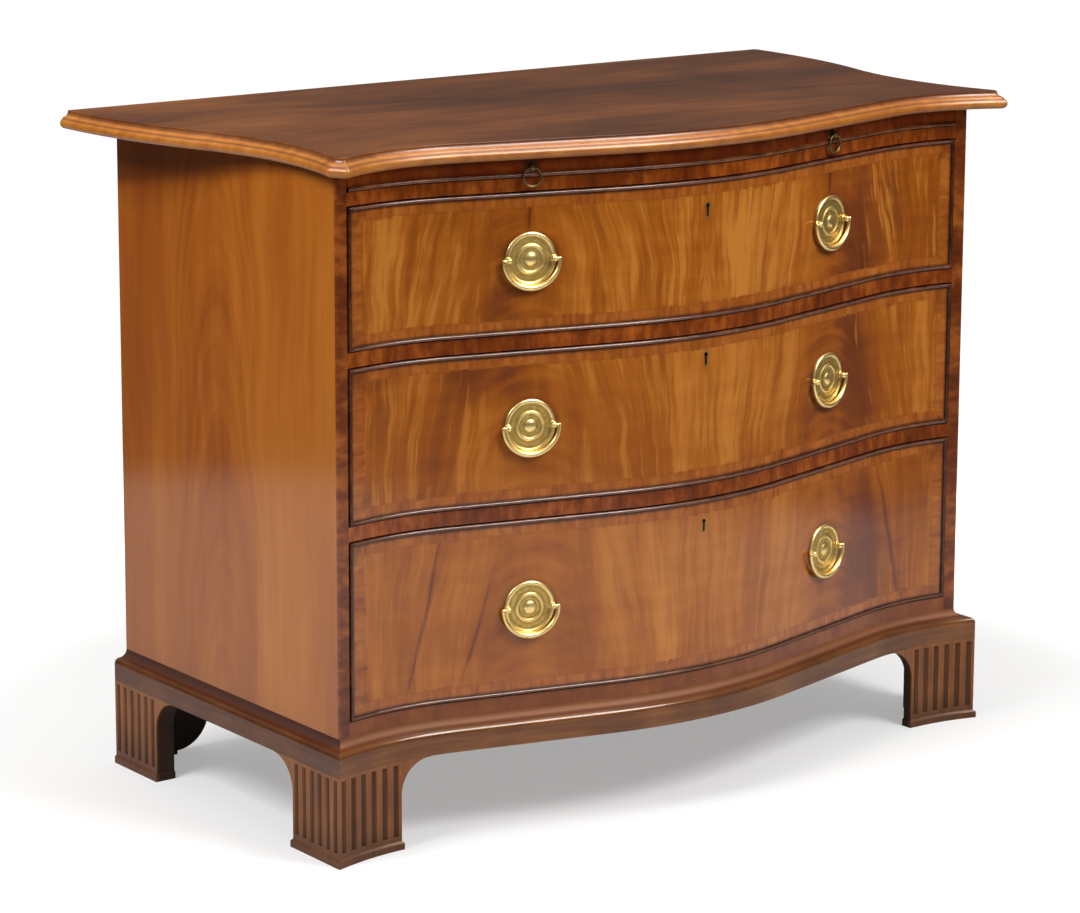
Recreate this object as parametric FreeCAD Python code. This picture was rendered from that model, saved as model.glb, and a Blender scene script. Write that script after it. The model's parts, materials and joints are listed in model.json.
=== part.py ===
"""Serpentine chest of drawers, in millimetres.

+Z is up, the front faces -Y, and the origin is on the floor under the middle of the top. A carcass on
fluted bracket feet holds a brushing slide and three graduated, cock-beaded drawers with brass handles."""
import math
import os

import FreeCAD
import Part

Vector = FreeCAD.Vector

# Carcass in plan
carcass_width = 992.0
carcass_back = 290.0
front_line = -200.0
side_thickness = 16.0
facing_depth = 5.0
housing = 6.0
back_thickness = 12.0
back_rebate = 8.0
back_boards = 4

# Serpentine front: a bold middle, straight flanks and a hollow towards each corner
bulge = 70.0
hollow = 9.0
bulge_radius = 540.0
hollow_radius = 340.0

# Heights, from the floor up
foot_height = 110.0
base_ledge = 16.0
moulding_rise = 23.0
base_rail_show = 18.0
drawer_names = ("lower", "middle", "upper")
drawer_openings = (220.0, 190.0, 173.0)
divider_thickness = 18.0
slide_rail_thickness = 16.0
slide_opening = 26.0
top_thickness = 22.0

# Top board: overhang in front, canted corners, and sides drawn in to a waist and swelling towards the back
top_overhang = 30.0
top_hollow_radius = 230.0
cant_angle = 30.0
cant_reach = 575.0
top_back = 300.0
waist_half = 511.0
waist_y = -100.0
waist_radius = 450.0
shoulder_half = 571.0
shoulder_y = 280.0
nose_radius = 6.5
nose_fillet = 1.5
cove_radius = 6.5
top_arris = 1.0

# Rails, dust boards and runners
rail_back = -130.0
base_rail_back = -140.0
dust_thickness = 8.0
dust_tongue = 5.0
runner_width = 20.0
stop_half = 20.0
stop_x = 150.0
stop_depth = 18.0
stop_rise = 4.0
stop_gap = 0.4

# Base moulding and feet
moulding_projection = 18.0
moulding_nose = 4.0
moulding_overlap = 0.5
mitre_spare = 12.0
ledge_inset = 40.0
foot_face = 100.0
foot_thickness = 26.0
front_bracket_thickness = 14.0
foot_band = 8.0
foot_band_slope = 2.5
spandrel_foot = 68.0
spandrel_radius = 41.5
flutes = 6
flute_radius = 4.0
flute_stand_off = 1.0
flute_foot = 17.0
flute_head = 106.0
rear_bracket_thickness = 18.0
rear_foot_width = 55.0
rear_foot_rise = 5.0
rear_belly = 48.0
foot_block = 24.0
foot_block_lift = 2.0

# How far a cutting shape runs past what it cuts
run_past = 60.0

# Drawers
drawer_gap = 1.5
front_lift = 1.0
front_thickness = 22.0
lining = 10.0
drawer_bottom = 8.0
bottom_lift = 8.0
groove = 5.0
drawer_back_y = 260.0
side_drop = 4.0
back_drop = 12.0
bottom_overhang = 2.0
bead_width = 4.5
bead_proud = 3.0
bead_inset = 7.5
bead_round = 1.8
bead_nose = ((0, 1), (0.25, 0.3), (0.5, 0), (0.75, 0.3), (1, 1))
tail_pitch = 46.0
tail_end = 15.0
tail_neck = 11.0
front_lap = 9.6
tail_spare = 2.0

# Handles; the plate's profile gives radius and height of its rim, inner ring and boss
handle_x = 237.0
handle_heights = (276.0, 501.0, 704.0)
plate_profile = ((0, 0), (33.0, 0), (33.0, 1.4), (30.5, 2.8), (27.0, 1.2), (18.5, 1.2), (16.5, 2.6),
                 (13.5, 1.2), (8.0, 1.2), (5.5, 3.0), (0, 3.8))
post_spacing = 29.5
post_radius = 2.6
post_stand = 6.0
post_ball = 3.8
post_seat = 1.0
post_base_radius = 4.8
post_base_height = 2.4
post_waist = 2.8
shank_spare = 1.5
nut_radius = 6.0
nut_thickness = 3.0
nut_chamfer = 1.0
bail_radius = 36.2
bail_rod = 2.5
bail_chamfer = 0.8
pin_radius = 1.5
pin_clearance = 0.05
pin_short = 1.0

# Locks and keyholes
key_drops = (30.0, 28.0, 34.0)
key_head = 2.9
key_skirt = 1.8
key_length = 13.0
escutcheon_rim = 1.6
lock_half = 32.0
lock_depth = 12.0
lock_height = 46.0
bolt_half = 7.0
bolt_thickness = 5.0
bolt_length = 20.0
bolt_set_back = 4.0
bolt_clearance = 0.2
bolt_throw = 9.0
mortise_clearance = 1.0
escutcheon_depth = 6.0
escutcheon_proud = 0.4

# Brushing slide and its ring pulls
slide_thickness = 20.0
slide_back = 250.0
lip_back = -150.0
slide_bead = 4.0
ring_height = 13.0
ring_radius = 11.5
ring_wire = 1.5
ring_stand = 6.0
eye_radius = 3.9
eye_hole = 2.35
eye_chamfer = 1.3
boss_profile = ((0, 0), (8.0, 0), (8.0, 1.0), (6.0, 2.2))

# Worked out from the sizes above
half = carcass_width / 2
inner_half = half - side_thickness
drawer_half = inner_half - drawer_gap
carcass_foot = foot_height + base_ledge
moulding_top = carcass_foot + moulding_rise
bottom_top = moulding_top + base_rail_show
back_face = carcass_back - back_thickness
drawer_spans = {}
level = bottom_top
for drawer, opening, rail in zip(
        drawer_names, drawer_openings, (divider_thickness, divider_thickness, slide_rail_thickness)):
    drawer_spans[drawer] = (level, level + opening)
    level += opening + rail
slide_floor = level
carcass_top = slide_floor + slide_opening

# The serpentine's three circles: the bulge's behind the front, a hollow's in front of it on each side
hollow_x = half - math.sqrt(2 * hollow_radius * hollow - hollow ** 2)
hollow_y = front_line + hollow - hollow_radius
bulge_y = front_line - bulge + bulge_radius
circles_apart = math.hypot(hollow_x, bulge_y - hollow_y)
flank_angle = (math.atan2(hollow_x, bulge_y - hollow_y)
               - math.acos((bulge_radius + hollow_radius) / circles_apart))


def flank_ends(forward):
    """X where a straight flank starts and ends, with the front moved out by forward."""
    start = (bulge_radius + forward) * math.sin(flank_angle)
    end = hollow_x - (hollow_radius - forward) * math.sin(flank_angle)
    return start, end


def front_y(x, forward=0.0):
    """Y of the serpentine front at x, moved out by forward."""
    x = abs(x)
    start, end = flank_ends(forward)
    if x <= start:
        return bulge_y - math.sqrt((bulge_radius + forward) ** 2 - x ** 2)
    if x >= end:
        return hollow_y + math.sqrt((hollow_radius - forward) ** 2 - (x - hollow_x) ** 2)
    start_y = bulge_y - (bulge_radius + forward) * math.cos(flank_angle)
    return start_y + (x - start) * math.tan(flank_angle)


def line(a, b):
    return Part.LineSegment(a, b).toShape()


def arc(a, middle, b):
    return Part.Arc(a, middle, b).toShape()


def front_edges(forward, x0, x1, z):
    """Arcs and straight flanks of the front from x0 to x1, at height z."""
    start, end = flank_ends(forward)
    joins = [x for x in (-end, -start, start, end) if x0 < x < x1]
    stations = [x0] + joins + [x1]
    edges = []
    for a, b in zip(stations, stations[1:]):
        middle_x = (a + b) / 2
        first, middle, last = [Vector(x, front_y(x, forward), z) for x in (a, middle_x, b)]
        if start < abs(middle_x) < end:
            edges.append(line(first, last))
        else:
            edges.append(arc(first, middle, last))
    return edges


def band_wire(outer, inner, x0, x1, z):
    """Closed outline between two lines parallel to the front."""
    right = line(Vector(x1, front_y(x1, outer), z), Vector(x1, front_y(x1, inner), z))
    left = line(Vector(x0, front_y(x0, inner), z), Vector(x0, front_y(x0, outer), z))
    inside = front_edges(inner, x0, x1, z)
    return Part.Wire(front_edges(outer, x0, x1, z) + [right] + inside[::-1] + [left])


def front_band(outer, inner, x0, x1, z0, z1):
    """Curved board between two lines parallel to the front."""
    return Part.Face(band_wire(outer, inner, x0, x1, z0)).extrude(Vector(0, 0, z1 - z0))


def front_slab(forward, back_y, x0, x1, z0, z1):
    """Board whose front edge follows the serpentine and whose back edge is straight."""
    corners = [
        Vector(x1, front_y(x1, forward), z0),
        Vector(x1, back_y, z0),
        Vector(x0, back_y, z0),
        Vector(x0, front_y(x0, forward), z0),
    ]
    straight = [line(a, b) for a, b in zip(corners, corners[1:])]
    outline = Part.Wire(front_edges(forward, x0, x1, z0) + straight)
    return Part.Face(outline).extrude(Vector(0, 0, z1 - z0))


def box(x0, x1, y0, y1, z0, z1):
    return Part.makeBox(x1 - x0, y1 - y0, z1 - z0, Vector(x0, y0, z0))


def prism(points, direction):
    """Solid swept along direction from a flat outline given by its corners."""
    return Part.Face(Part.makePolygon(points + points[:1])).extrude(direction)


def mirrored(shape):
    """The same piece on the left-hand side."""
    return shape.mirror(Vector(0, 0, 0), Vector(1, 0, 0))


def turned(profile):
    """Solid of revolution about the local Y axis; profile holds radius and stand-off, outwards being -Y."""
    points = [Vector(radius, -stand_off, 0) for radius, stand_off in profile]
    return Part.Face(Part.makePolygon(points + points[:1])).revolve(Vector(0, 0, 0), Vector(0, 1, 0), 360)


def on_flank(shape, side, z):
    """Carries a piece from the local frame to a flank of the front; side is 1 for right, -1 for left."""
    placed = shape.copy()
    placed.rotate(Vector(0, 0, 0), Vector(0, 0, 1), side * math.degrees(flank_angle))
    placed.translate(Vector(side * handle_x, front_y(handle_x), z))
    return placed


def cut_all(shape, tools):
    for tool in tools:
        shape = shape.cut(tool)
    return shape


# Top board
sides_run = shoulder_y - waist_y
sides_swell = shoulder_half - waist_half
shoulder_radius = (sides_run ** 2 + sides_swell ** 2) / (2 * sides_swell) - waist_radius
waist_centre = Vector(waist_half + waist_radius, waist_y, 0)
shoulder_centre = Vector(shoulder_half - shoulder_radius, shoulder_y, 0)
flank_out = Vector(math.sin(flank_angle), -math.cos(flank_angle), 0)
flank_foot = flank_ends(top_overhang)[1]
hollow_centre = Vector(flank_foot, front_y(flank_foot, top_overhang), 0) + flank_out * top_hollow_radius
cant_out = Vector(math.cos(math.radians(cant_angle)), -math.sin(math.radians(cant_angle)), 0)


def cant_end(centre, radius, inset, way):
    """Where the canted corner, drawn in by inset, meets a circle; way is 1 on the front and -1 on the side."""
    off = cant_reach - inset - centre.dot(cant_out)
    half_chord = math.sqrt(radius ** 2 - off ** 2)
    return centre + cant_out * off + Vector(-cant_out.y, cant_out.x, 0) * (way * half_chord)


def top_wire(inset, z):
    """Outline of the top, drawn in by inset along the front and the sides."""
    lift = Vector(0, 0, z)
    bow_reach = bulge_radius + top_overhang - inset
    front_radius = top_hollow_radius + inset
    side_radius = shoulder_radius - inset
    flank_start = Vector(0, bulge_y, 0) + flank_out * bow_reach
    flank_end = hollow_centre - flank_out * front_radius
    front_end = cant_end(hollow_centre, front_radius, inset, 1)
    side_end = cant_end(waist_centre, waist_radius + inset, inset, -1)
    toward = shoulder_centre - waist_centre
    toward.normalize()
    turn = waist_centre + toward * (waist_radius + inset)

    def hollow_point(x):
        reach = math.sqrt(front_radius ** 2 - (x - hollow_centre.x) ** 2)
        return Vector(x, hollow_centre.y + reach, 0)

    def waist_point(y):
        reach = math.sqrt((waist_radius + inset) ** 2 - (y - waist_y) ** 2)
        return Vector(waist_centre.x - reach, y, 0)

    def shoulder_point(y):
        reach = math.sqrt(side_radius ** 2 - (y - shoulder_y) ** 2)
        return Vector(shoulder_centre.x + reach, y, 0)

    rear = shoulder_point(top_back)
    right = [
        line(flank_start + lift, flank_end + lift),
        arc(flank_end + lift, hollow_point((flank_end.x + front_end.x) / 2) + lift, front_end + lift),
        line(front_end + lift, side_end + lift),
        arc(side_end + lift, waist_point((side_end.y + turn.y) / 2) + lift, turn + lift),
        arc(turn + lift, shoulder_point((turn.y + top_back) / 2) + lift, rear + lift),
    ]
    left = [mirrored(edge) for edge in right[::-1]]
    back = line(rear + lift, Vector(-rear.x, rear.y, z))
    bow = arc(Vector(-flank_start.x, flank_start.y, z), Vector(0, bulge_y - bow_reach, z), flank_start + lift)
    return Part.Wire([bow] + right + [back] + left)


def top_profile():
    """Edge moulding from the underside up, as inset and height: a half-round nose, a fillet and a cove."""
    points = []
    for degrees in (-60, -30, 0, 30, 60):
        angle = math.radians(degrees)
        points.append((nose_radius * (1 - math.cos(angle)), nose_radius * (1 + math.sin(angle))))
    fillet = nose_radius - nose_fillet
    cove_head = top_thickness - top_arris
    for degrees in (0, 30, 60, 90):
        angle = math.radians(degrees)
        points.append((fillet + cove_radius * math.sin(angle), cove_head - cove_radius * math.cos(angle)))
    first = (points[0][0] + nose_fillet, 0.0)
    last = (points[-1][0], top_thickness)
    return [first] + points + [last]


def make_top():
    wires = [top_wire(inset, carcass_top + rise) for inset, rise in top_profile()]
    return Part.makeLoft(wires, True, True)


# Base: moulding with a ledge that carries the carcass, mitred at the front corners
def base_profile():
    """Base moulding from its ledge up, as projection and height: a round nose under a cove."""
    cove = moulding_projection - moulding_nose
    nose_foot = moulding_top - cove - moulding_nose
    points = [(moulding_projection, carcass_foot)]
    for degrees in (0, 30, 60):
        angle = math.radians(degrees)
        points.append((cove + moulding_nose * math.cos(angle), nose_foot + moulding_nose * math.sin(angle)))
    for degrees in (90, 67.5, 45, 22.5, 0):
        angle = math.radians(degrees)
        points.append((cove * (1 - math.cos(angle)), moulding_top - cove * math.sin(angle)))
    return points


mitre_corner = Vector(half, front_line, 0)
mitre_out = Vector(half + moulding_projection, front_y(half + moulding_projection, moulding_projection), 0)


def side_region():
    """Everything beside and behind the mitre at the right front corner."""
    along = mitre_out - mitre_corner
    along.normalize()
    outer = mitre_corner + along * 2 * run_past
    inner = mitre_corner - along * 2 * run_past
    far_x = outer.x + run_past
    far_y = carcass_back + run_past
    points = [
        inner,
        outer,
        Vector(far_x, outer.y, 0),
        Vector(far_x, far_y, 0),
        Vector(inner.x, far_y, 0),
    ]
    below = Vector(0, 0, run_past)
    return prism([point - below for point in points], Vector(0, 0, moulding_top + 2 * run_past))


def make_base_mouldings():
    beyond = mitre_out.x + mitre_spare
    lower = front_band(moulding_projection, -ledge_inset, -beyond, beyond, foot_height, carcass_foot)
    sections = [band_wire(projection, -moulding_overlap, -beyond, beyond, z)
                for projection, z in base_profile()]
    upper = Part.makeLoft(sections, True, True)
    front = lower.fuse(upper.cut(front_slab(0, carcass_back, -beyond, beyond, carcass_foot, moulding_top)))
    region = side_region()
    front = cut_all(front, (region, mirrored(region)))
    profile = [(half - ledge_inset, foot_height), (half + moulding_projection, foot_height)]
    profile += [(half + projection, z) for projection, z in base_profile()]
    profile += [(half, carcass_foot), (half - ledge_inset, carcass_foot)]
    points = [Vector(x, front_line - run_past, z) for x, z in profile]
    right = prism(points, Vector(0, carcass_back - front_line + run_past, 0)).common(region)
    return front.removeSplitter(), right.removeSplitter()


def foot_void(place, direction):
    """What is cut from a bracket beside its foot: a straight edge, a small flare and a round spandrel.

    place turns a distance from the outer corner and a height into a point."""
    inner = foot_face + foot_band_slope
    far = foot_face + 2 * spandrel_radius
    crown = spandrel_foot + spandrel_radius
    slant = spandrel_radius * math.sqrt(0.5)
    straight = [
        place(far, crown),
        place(far, -run_past),
        place(inner, -run_past),
        place(inner, foot_band),
        place(foot_face, foot_band + foot_band_slope),
        place(foot_face, spandrel_foot),
    ]
    edges = [line(a, b) for a, b in zip(straight, straight[1:])]
    middle = place(foot_face + spandrel_radius - slant, spandrel_foot + slant)
    shoulder = place(foot_face + spandrel_radius, crown)
    edges.append(arc(straight[-1], middle, shoulder))
    edges.append(line(shoulder, straight[0]))
    return Part.Face(Part.Wire(edges)).extrude(direction)


def flute(x, y):
    return Part.makeCylinder(flute_radius, flute_head - flute_foot, Vector(x, y, flute_foot))


def flute_steps():
    return [foot_face * (index + 0.5) / flutes for index in range(flutes)]


def side_bracket():
    """Section of a side bracket, extruded from well before the front corner to the back."""
    inner = half + moulding_projection - foot_thickness
    outer = half + moulding_projection
    profile = [
        (inner, 0),
        (outer + foot_band_slope, 0),
        (outer + foot_band_slope, foot_band),
        (outer, foot_band + foot_band_slope),
        (outer, foot_height),
        (inner, foot_height),
    ]
    points = [Vector(x, front_line - run_past, z) for x, z in profile]
    return prism(points, Vector(0, carcass_back - front_line + run_past, 0))


def make_front_foot():
    """Right front foot: a curved front bracket and a side bracket, mitred together."""
    outer = moulding_projection
    inner = moulding_projection - front_bracket_thickness
    x0 = mitre_out.x - foot_face - spandrel_radius
    x1 = mitre_out.x + mitre_spare
    flare = outer + foot_band_slope
    front = front_band(outer, inner, x0, x1, 0, foot_height)
    front = front.fuse(front_band(flare, inner, x0, x1, 0, foot_band))
    slope = [band_wire(flare, inner, x0, x1, foot_band)]
    slope.append(band_wire(outer, inner, x0, x1, foot_band + foot_band_slope))
    front = front.fuse(Part.makeLoft(slope, True, True))
    before = front_line - 2 * run_past
    front = front.cut(foot_void(lambda s, z: Vector(mitre_out.x - s, before, z), Vector(0, 4 * run_past, 0)))
    region = side_region()
    front = front.cut(region)
    side = side_bracket().common(region)
    side_end = mitre_out.y + foot_face + spandrel_radius
    side = side.cut(box(half - run_past, half + run_past, side_end, carcass_back, 0, foot_height))
    across = Vector(2 * run_past, 0, 0)
    side = side.cut(foot_void(lambda s, z: Vector(half - run_past, mitre_out.y + s, z), across))
    for step in flute_steps():
        x = mitre_out.x - step
        front = front.cut(flute(x, front_y(x, outer) - flute_stand_off))
        side = side.cut(flute(mitre_out.x + flute_stand_off, mitre_out.y + step))
    return [front.removeSplitter(), side.removeSplitter()]


def make_rear_foot():
    """Right rear foot: a fluted side bracket and a plain bracket with a round belly across the back."""
    side = side_bracket()
    side_end = carcass_back - foot_face - spandrel_radius
    before = front_line - 2 * run_past
    side = side.cut(box(half - run_past, half + run_past, before, side_end, 0, foot_height))
    across = Vector(2 * run_past, 0, 0)
    side = side.cut(foot_void(lambda s, z: Vector(half - run_past, carcass_back - s, z), across))
    for step in flute_steps():
        side = side.cut(flute(mitre_out.x + flute_stand_off, carcass_back - step))
    outer = half + moulding_projection - foot_thickness
    inner = outer - rear_foot_width
    y = carcass_back - rear_bracket_thickness
    belly_top = rear_foot_rise + rear_belly
    slant = rear_belly * math.sqrt(0.5)
    points = [
        Vector(inner - rear_belly, y, belly_top),
        Vector(inner - rear_belly, y, foot_height),
        Vector(outer, y, foot_height),
        Vector(outer, y, 0),
        Vector(inner, y, 0),
        Vector(inner, y, rear_foot_rise),
    ]
    edges = [line(a, b) for a, b in zip(points, points[1:])]
    edges.append(arc(points[-1], Vector(inner - slant, y, belly_top - slant), points[0]))
    back = Part.Face(Part.Wire(edges)).extrude(Vector(0, rear_bracket_thickness, 0))
    return [side.removeSplitter(), back]


def make_foot_blocks():
    """Glue blocks behind the brackets, touching both of them and the base above."""
    x1 = half + moulding_projection - foot_thickness
    x0 = x1 - foot_block
    front = front_slab(
        moulding_projection - front_bracket_thickness, base_rail_back, x0, x1, foot_block_lift, foot_height)
    y1 = carcass_back - rear_bracket_thickness
    rear = box(x0, x1, y1 - foot_block, y1, foot_block_lift, foot_height)
    return [front, mirrored(front), rear, mirrored(rear)]


# Carcass
def make_rail(z0, z1, back_y):
    """Rail across the front, with its ends housed in the sides behind the facings."""
    shown = front_slab(0, back_y, -inner_half, inner_half, z0, z1)
    housed = inner_half + housing
    return shown.fuse(front_slab(-facing_depth, back_y, -housed, housed, z0, z1)).removeSplitter()


def bolt_box(z0, z1, clearance):
    """Upright space of a lock bolt, behind the middle of a drawer front."""
    y = front_y(0) + front_thickness - bolt_set_back
    return box(-bolt_half - clearance, bolt_half + clearance,
               y - bolt_thickness - clearance, y + clearance, z0, z1)


def make_carcass():
    pieces = {}
    rails = {}
    dust_boards = []
    runners = []
    stops = []
    rail_names = {"lower": "lower_divider", "middle": "upper_divider", "upper": "slide_rail"}
    rail_depths = {"lower": divider_thickness, "middle": divider_thickness, "upper": slide_rail_thickness}
    for drawer in drawer_names:
        z0 = drawer_spans[drawer][1]
        z1 = z0 + rail_depths[drawer]
        middle = (z0 + z1) / 2
        dust_half = inner_half - runner_width + dust_tongue
        dust = box(-dust_half, dust_half, rail_back - dust_tongue, back_face,
                   middle - dust_thickness / 2, middle + dust_thickness / 2)
        rail = make_rail(z0, z1, rail_back).cut(dust)
        rail = rail.cut(bolt_box(z0, z0 + bolt_throw + mortise_clearance, mortise_clearance))
        runner = box(inner_half - runner_width, inner_half, rail_back, back_face, z0, z1).cut(dust)
        rails[drawer] = rail
        dust_boards.append(dust)
        runners += [mirrored(runner), runner]
        pieces[rail_names[drawer]] = rail
    for drawer in drawer_names:
        floor = drawer_spans[drawer][0]
        back_of_front = -front_thickness - stop_gap
        stop = front_band(back_of_front, back_of_front - stop_depth, stop_x - stop_half, stop_x + stop_half,
                          floor, floor + stop_rise)
        stops += [mirrored(stop), stop]
    base_rail = make_rail(carcass_foot, bottom_top, base_rail_back)
    housed = inner_half + housing
    bottom = box(-housed, housed, base_rail_back, back_face, moulding_top, bottom_top)
    rear_width = inner_half + back_rebate
    board = 2 * rear_width / back_boards
    boards = []
    for index in range(back_boards):
        x0 = -rear_width + index * board
        boards.append(box(x0, x0 + board, back_face, carcass_back, carcass_foot, carcass_top))
    side = front_slab(-facing_depth, carcass_back, inner_half, half, carcass_foot, carcass_top)
    side = cut_all(side, list(rails.values()) + [base_rail, bottom, boards[-1]])
    facing = front_band(0, -facing_depth, inner_half, half, carcass_foot, carcass_top)
    pieces["side_right"] = side
    pieces["side_left"] = mirrored(side)
    pieces["side_facings"] = Part.makeCompound([mirrored(facing), facing])
    pieces["base_rail"] = base_rail
    pieces["bottom_board"] = bottom
    pieces["back_boards"] = Part.makeCompound(boards)
    pieces["dust_boards"] = Part.makeCompound(dust_boards)
    pieces["drawer_runners"] = Part.makeCompound(runners)
    pieces["drawer_stops"] = Part.makeCompound(stops)
    pieces["base_rear_rail"] = box(ledge_inset - half, half - ledge_inset, carcass_back - 2 * foot_block,
                                   carcass_back, foot_height, carcass_foot)
    return pieces


# Handles, in the local frame of a flank: X along the front, outwards -Y, the plate's middle at the origin
def cross_hole(radius, reach, stand_off):
    """Hole along the local X axis, reaching as far to both sides."""
    return Part.makeCylinder(radius, 2 * reach, Vector(-reach, -stand_off, 0), Vector(1, 0, 0))


def make_post():
    """Turned post with a ball head, its shank through the drawer front and a round nut inside."""
    shank_end = -front_thickness - nut_thickness - shank_spare
    ball = Part.makeSphere(post_ball, Vector(0, -post_stand, 0))
    stem = turned([
        (0, shank_end),
        (post_radius, shank_end),
        (post_radius, post_seat),
        (post_base_radius, post_seat),
        (post_base_radius, post_base_height),
        (post_waist, post_base_height + post_seat),
        (post_waist, post_stand),
        (0, post_stand),
    ])
    post = stem.fuse(ball)
    return post.cut(cross_hole(pin_radius + pin_clearance, 2 * post_ball, post_stand)).removeSplitter()


def make_nut():
    end = -front_thickness - nut_thickness
    return turned([
        (post_radius, -front_thickness),
        (post_radius, end),
        (nut_radius - nut_chamfer, end),
        (nut_radius, end + nut_chamfer),
        (nut_radius, -front_thickness),
    ])


def make_bail():
    """Hanging bail of round rod, with a pin turned in below each chamfered end."""
    section = Part.Face(Part.Wire(Part.makeCircle(bail_rod, Vector(bail_radius, 0, 0), Vector(0, 0, 1))))
    bail = section.revolve(Vector(0, 0, 0), Vector(0, 1, 0), 180)
    up = Vector(0, 0, 1)
    shoulder = bail_rod - bail_chamfer
    reach = bail_radius - post_spacing + post_ball - pin_short
    for side in (-1, 1):
        end = Vector(side * bail_radius, 0, 0)
        rod_end = Part.makeCylinder(bail_rod, shoulder, end, up)
        tip = Part.makeCone(bail_rod, shoulder, bail_chamfer, end + up * shoulder, up)
        pin = Part.makeCylinder(pin_radius, reach, end, Vector(-side, 0, 0))
        bail = bail.fuse(rod_end).fuse(tip).fuse(pin)
    bail.translate(Vector(0, -post_stand, 0))
    return bail.removeSplitter()


def make_handle():
    """Fixed pieces of one handle, and its bail."""
    plate = turned(plate_profile)
    fixed = []
    for side in (-1, 1):
        shift = Vector(side * post_spacing, 0, 0)
        post = make_post()
        nut = make_nut()
        post.translate(shift)
        nut.translate(shift)
        plate = plate.cut(post)
        fixed += [post, nut]
    return [plate] + fixed, make_bail()


# Drawers
def keyhole(rim, z, y0, y1):
    """Keyhole outline with a rim round it, a round head over a straight skirt, swept from y0 to y1."""
    radius = key_head + rim
    neck = Vector(radius * 0.5, y0, z - radius * math.sqrt(0.75))
    foot = Vector(key_skirt + rim, y0, z - key_length - rim)
    left_neck = Vector(-neck.x, y0, neck.z)
    left_foot = Vector(-foot.x, y0, foot.z)
    edges = [
        arc(left_neck, Vector(0, y0, z + radius), neck),
        line(neck, foot),
        line(foot, left_foot),
        line(left_foot, left_neck),
    ]
    return Part.Face(Part.Wire(edges)).extrude(Vector(0, y1 - y0, 0))


def tails(y_end, y_neck, z0, z1):
    """Dovetails at the end of the right-hand drawer side, wider at y_end than at y_neck."""
    count = int((z1 - z0) // tail_pitch)
    pitch = (z1 - z0) / count
    solids = []
    for index in range(count):
        z = z0 + pitch * (index + 0.5)
        points = [
            Vector(drawer_half - lining, y_end, z - tail_end),
            Vector(drawer_half - lining, y_end, z + tail_end),
            Vector(drawer_half - lining, y_neck, z + tail_neck),
            Vector(drawer_half - lining, y_neck, z - tail_neck),
        ]
        solids.append(prism(points, Vector(lining, 0, 0)))
    return solids


def bead_strip(z0, width):
    """Bead along the front at height z0, with a rounded nose."""
    wires = []
    for rise, back in bead_nose:
        outer = bead_proud - bead_round * back
        wires.append(band_wire(outer, -bead_inset, -drawer_half, drawer_half, z0 + width * rise))
    return Part.makeLoft(wires, True, True)


def upright_bead(z0, z1):
    """Cock bead at the right-hand end of a drawer front."""
    x0 = drawer_half - bead_width
    x1 = drawer_half
    middle = (x0 + x1) / 2
    shoulder = bead_proud - bead_round
    inner_right = Vector(x1, front_y(x1, -bead_inset), z0)
    inner_left = Vector(x0, front_y(x0, -bead_inset), z0)
    outer_left = Vector(x0, front_y(x0, shoulder), z0)
    outer_right = Vector(x1, front_y(x1, shoulder), z0)
    edges = [
        arc(outer_left, Vector(middle, front_y(middle, bead_proud), z0), outer_right),
        line(outer_right, inner_right),
        line(inner_right, inner_left),
        line(inner_left, outer_left),
    ]
    return Part.Face(Part.Wire(edges)).extrude(Vector(0, 0, z1 - z0))


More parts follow.
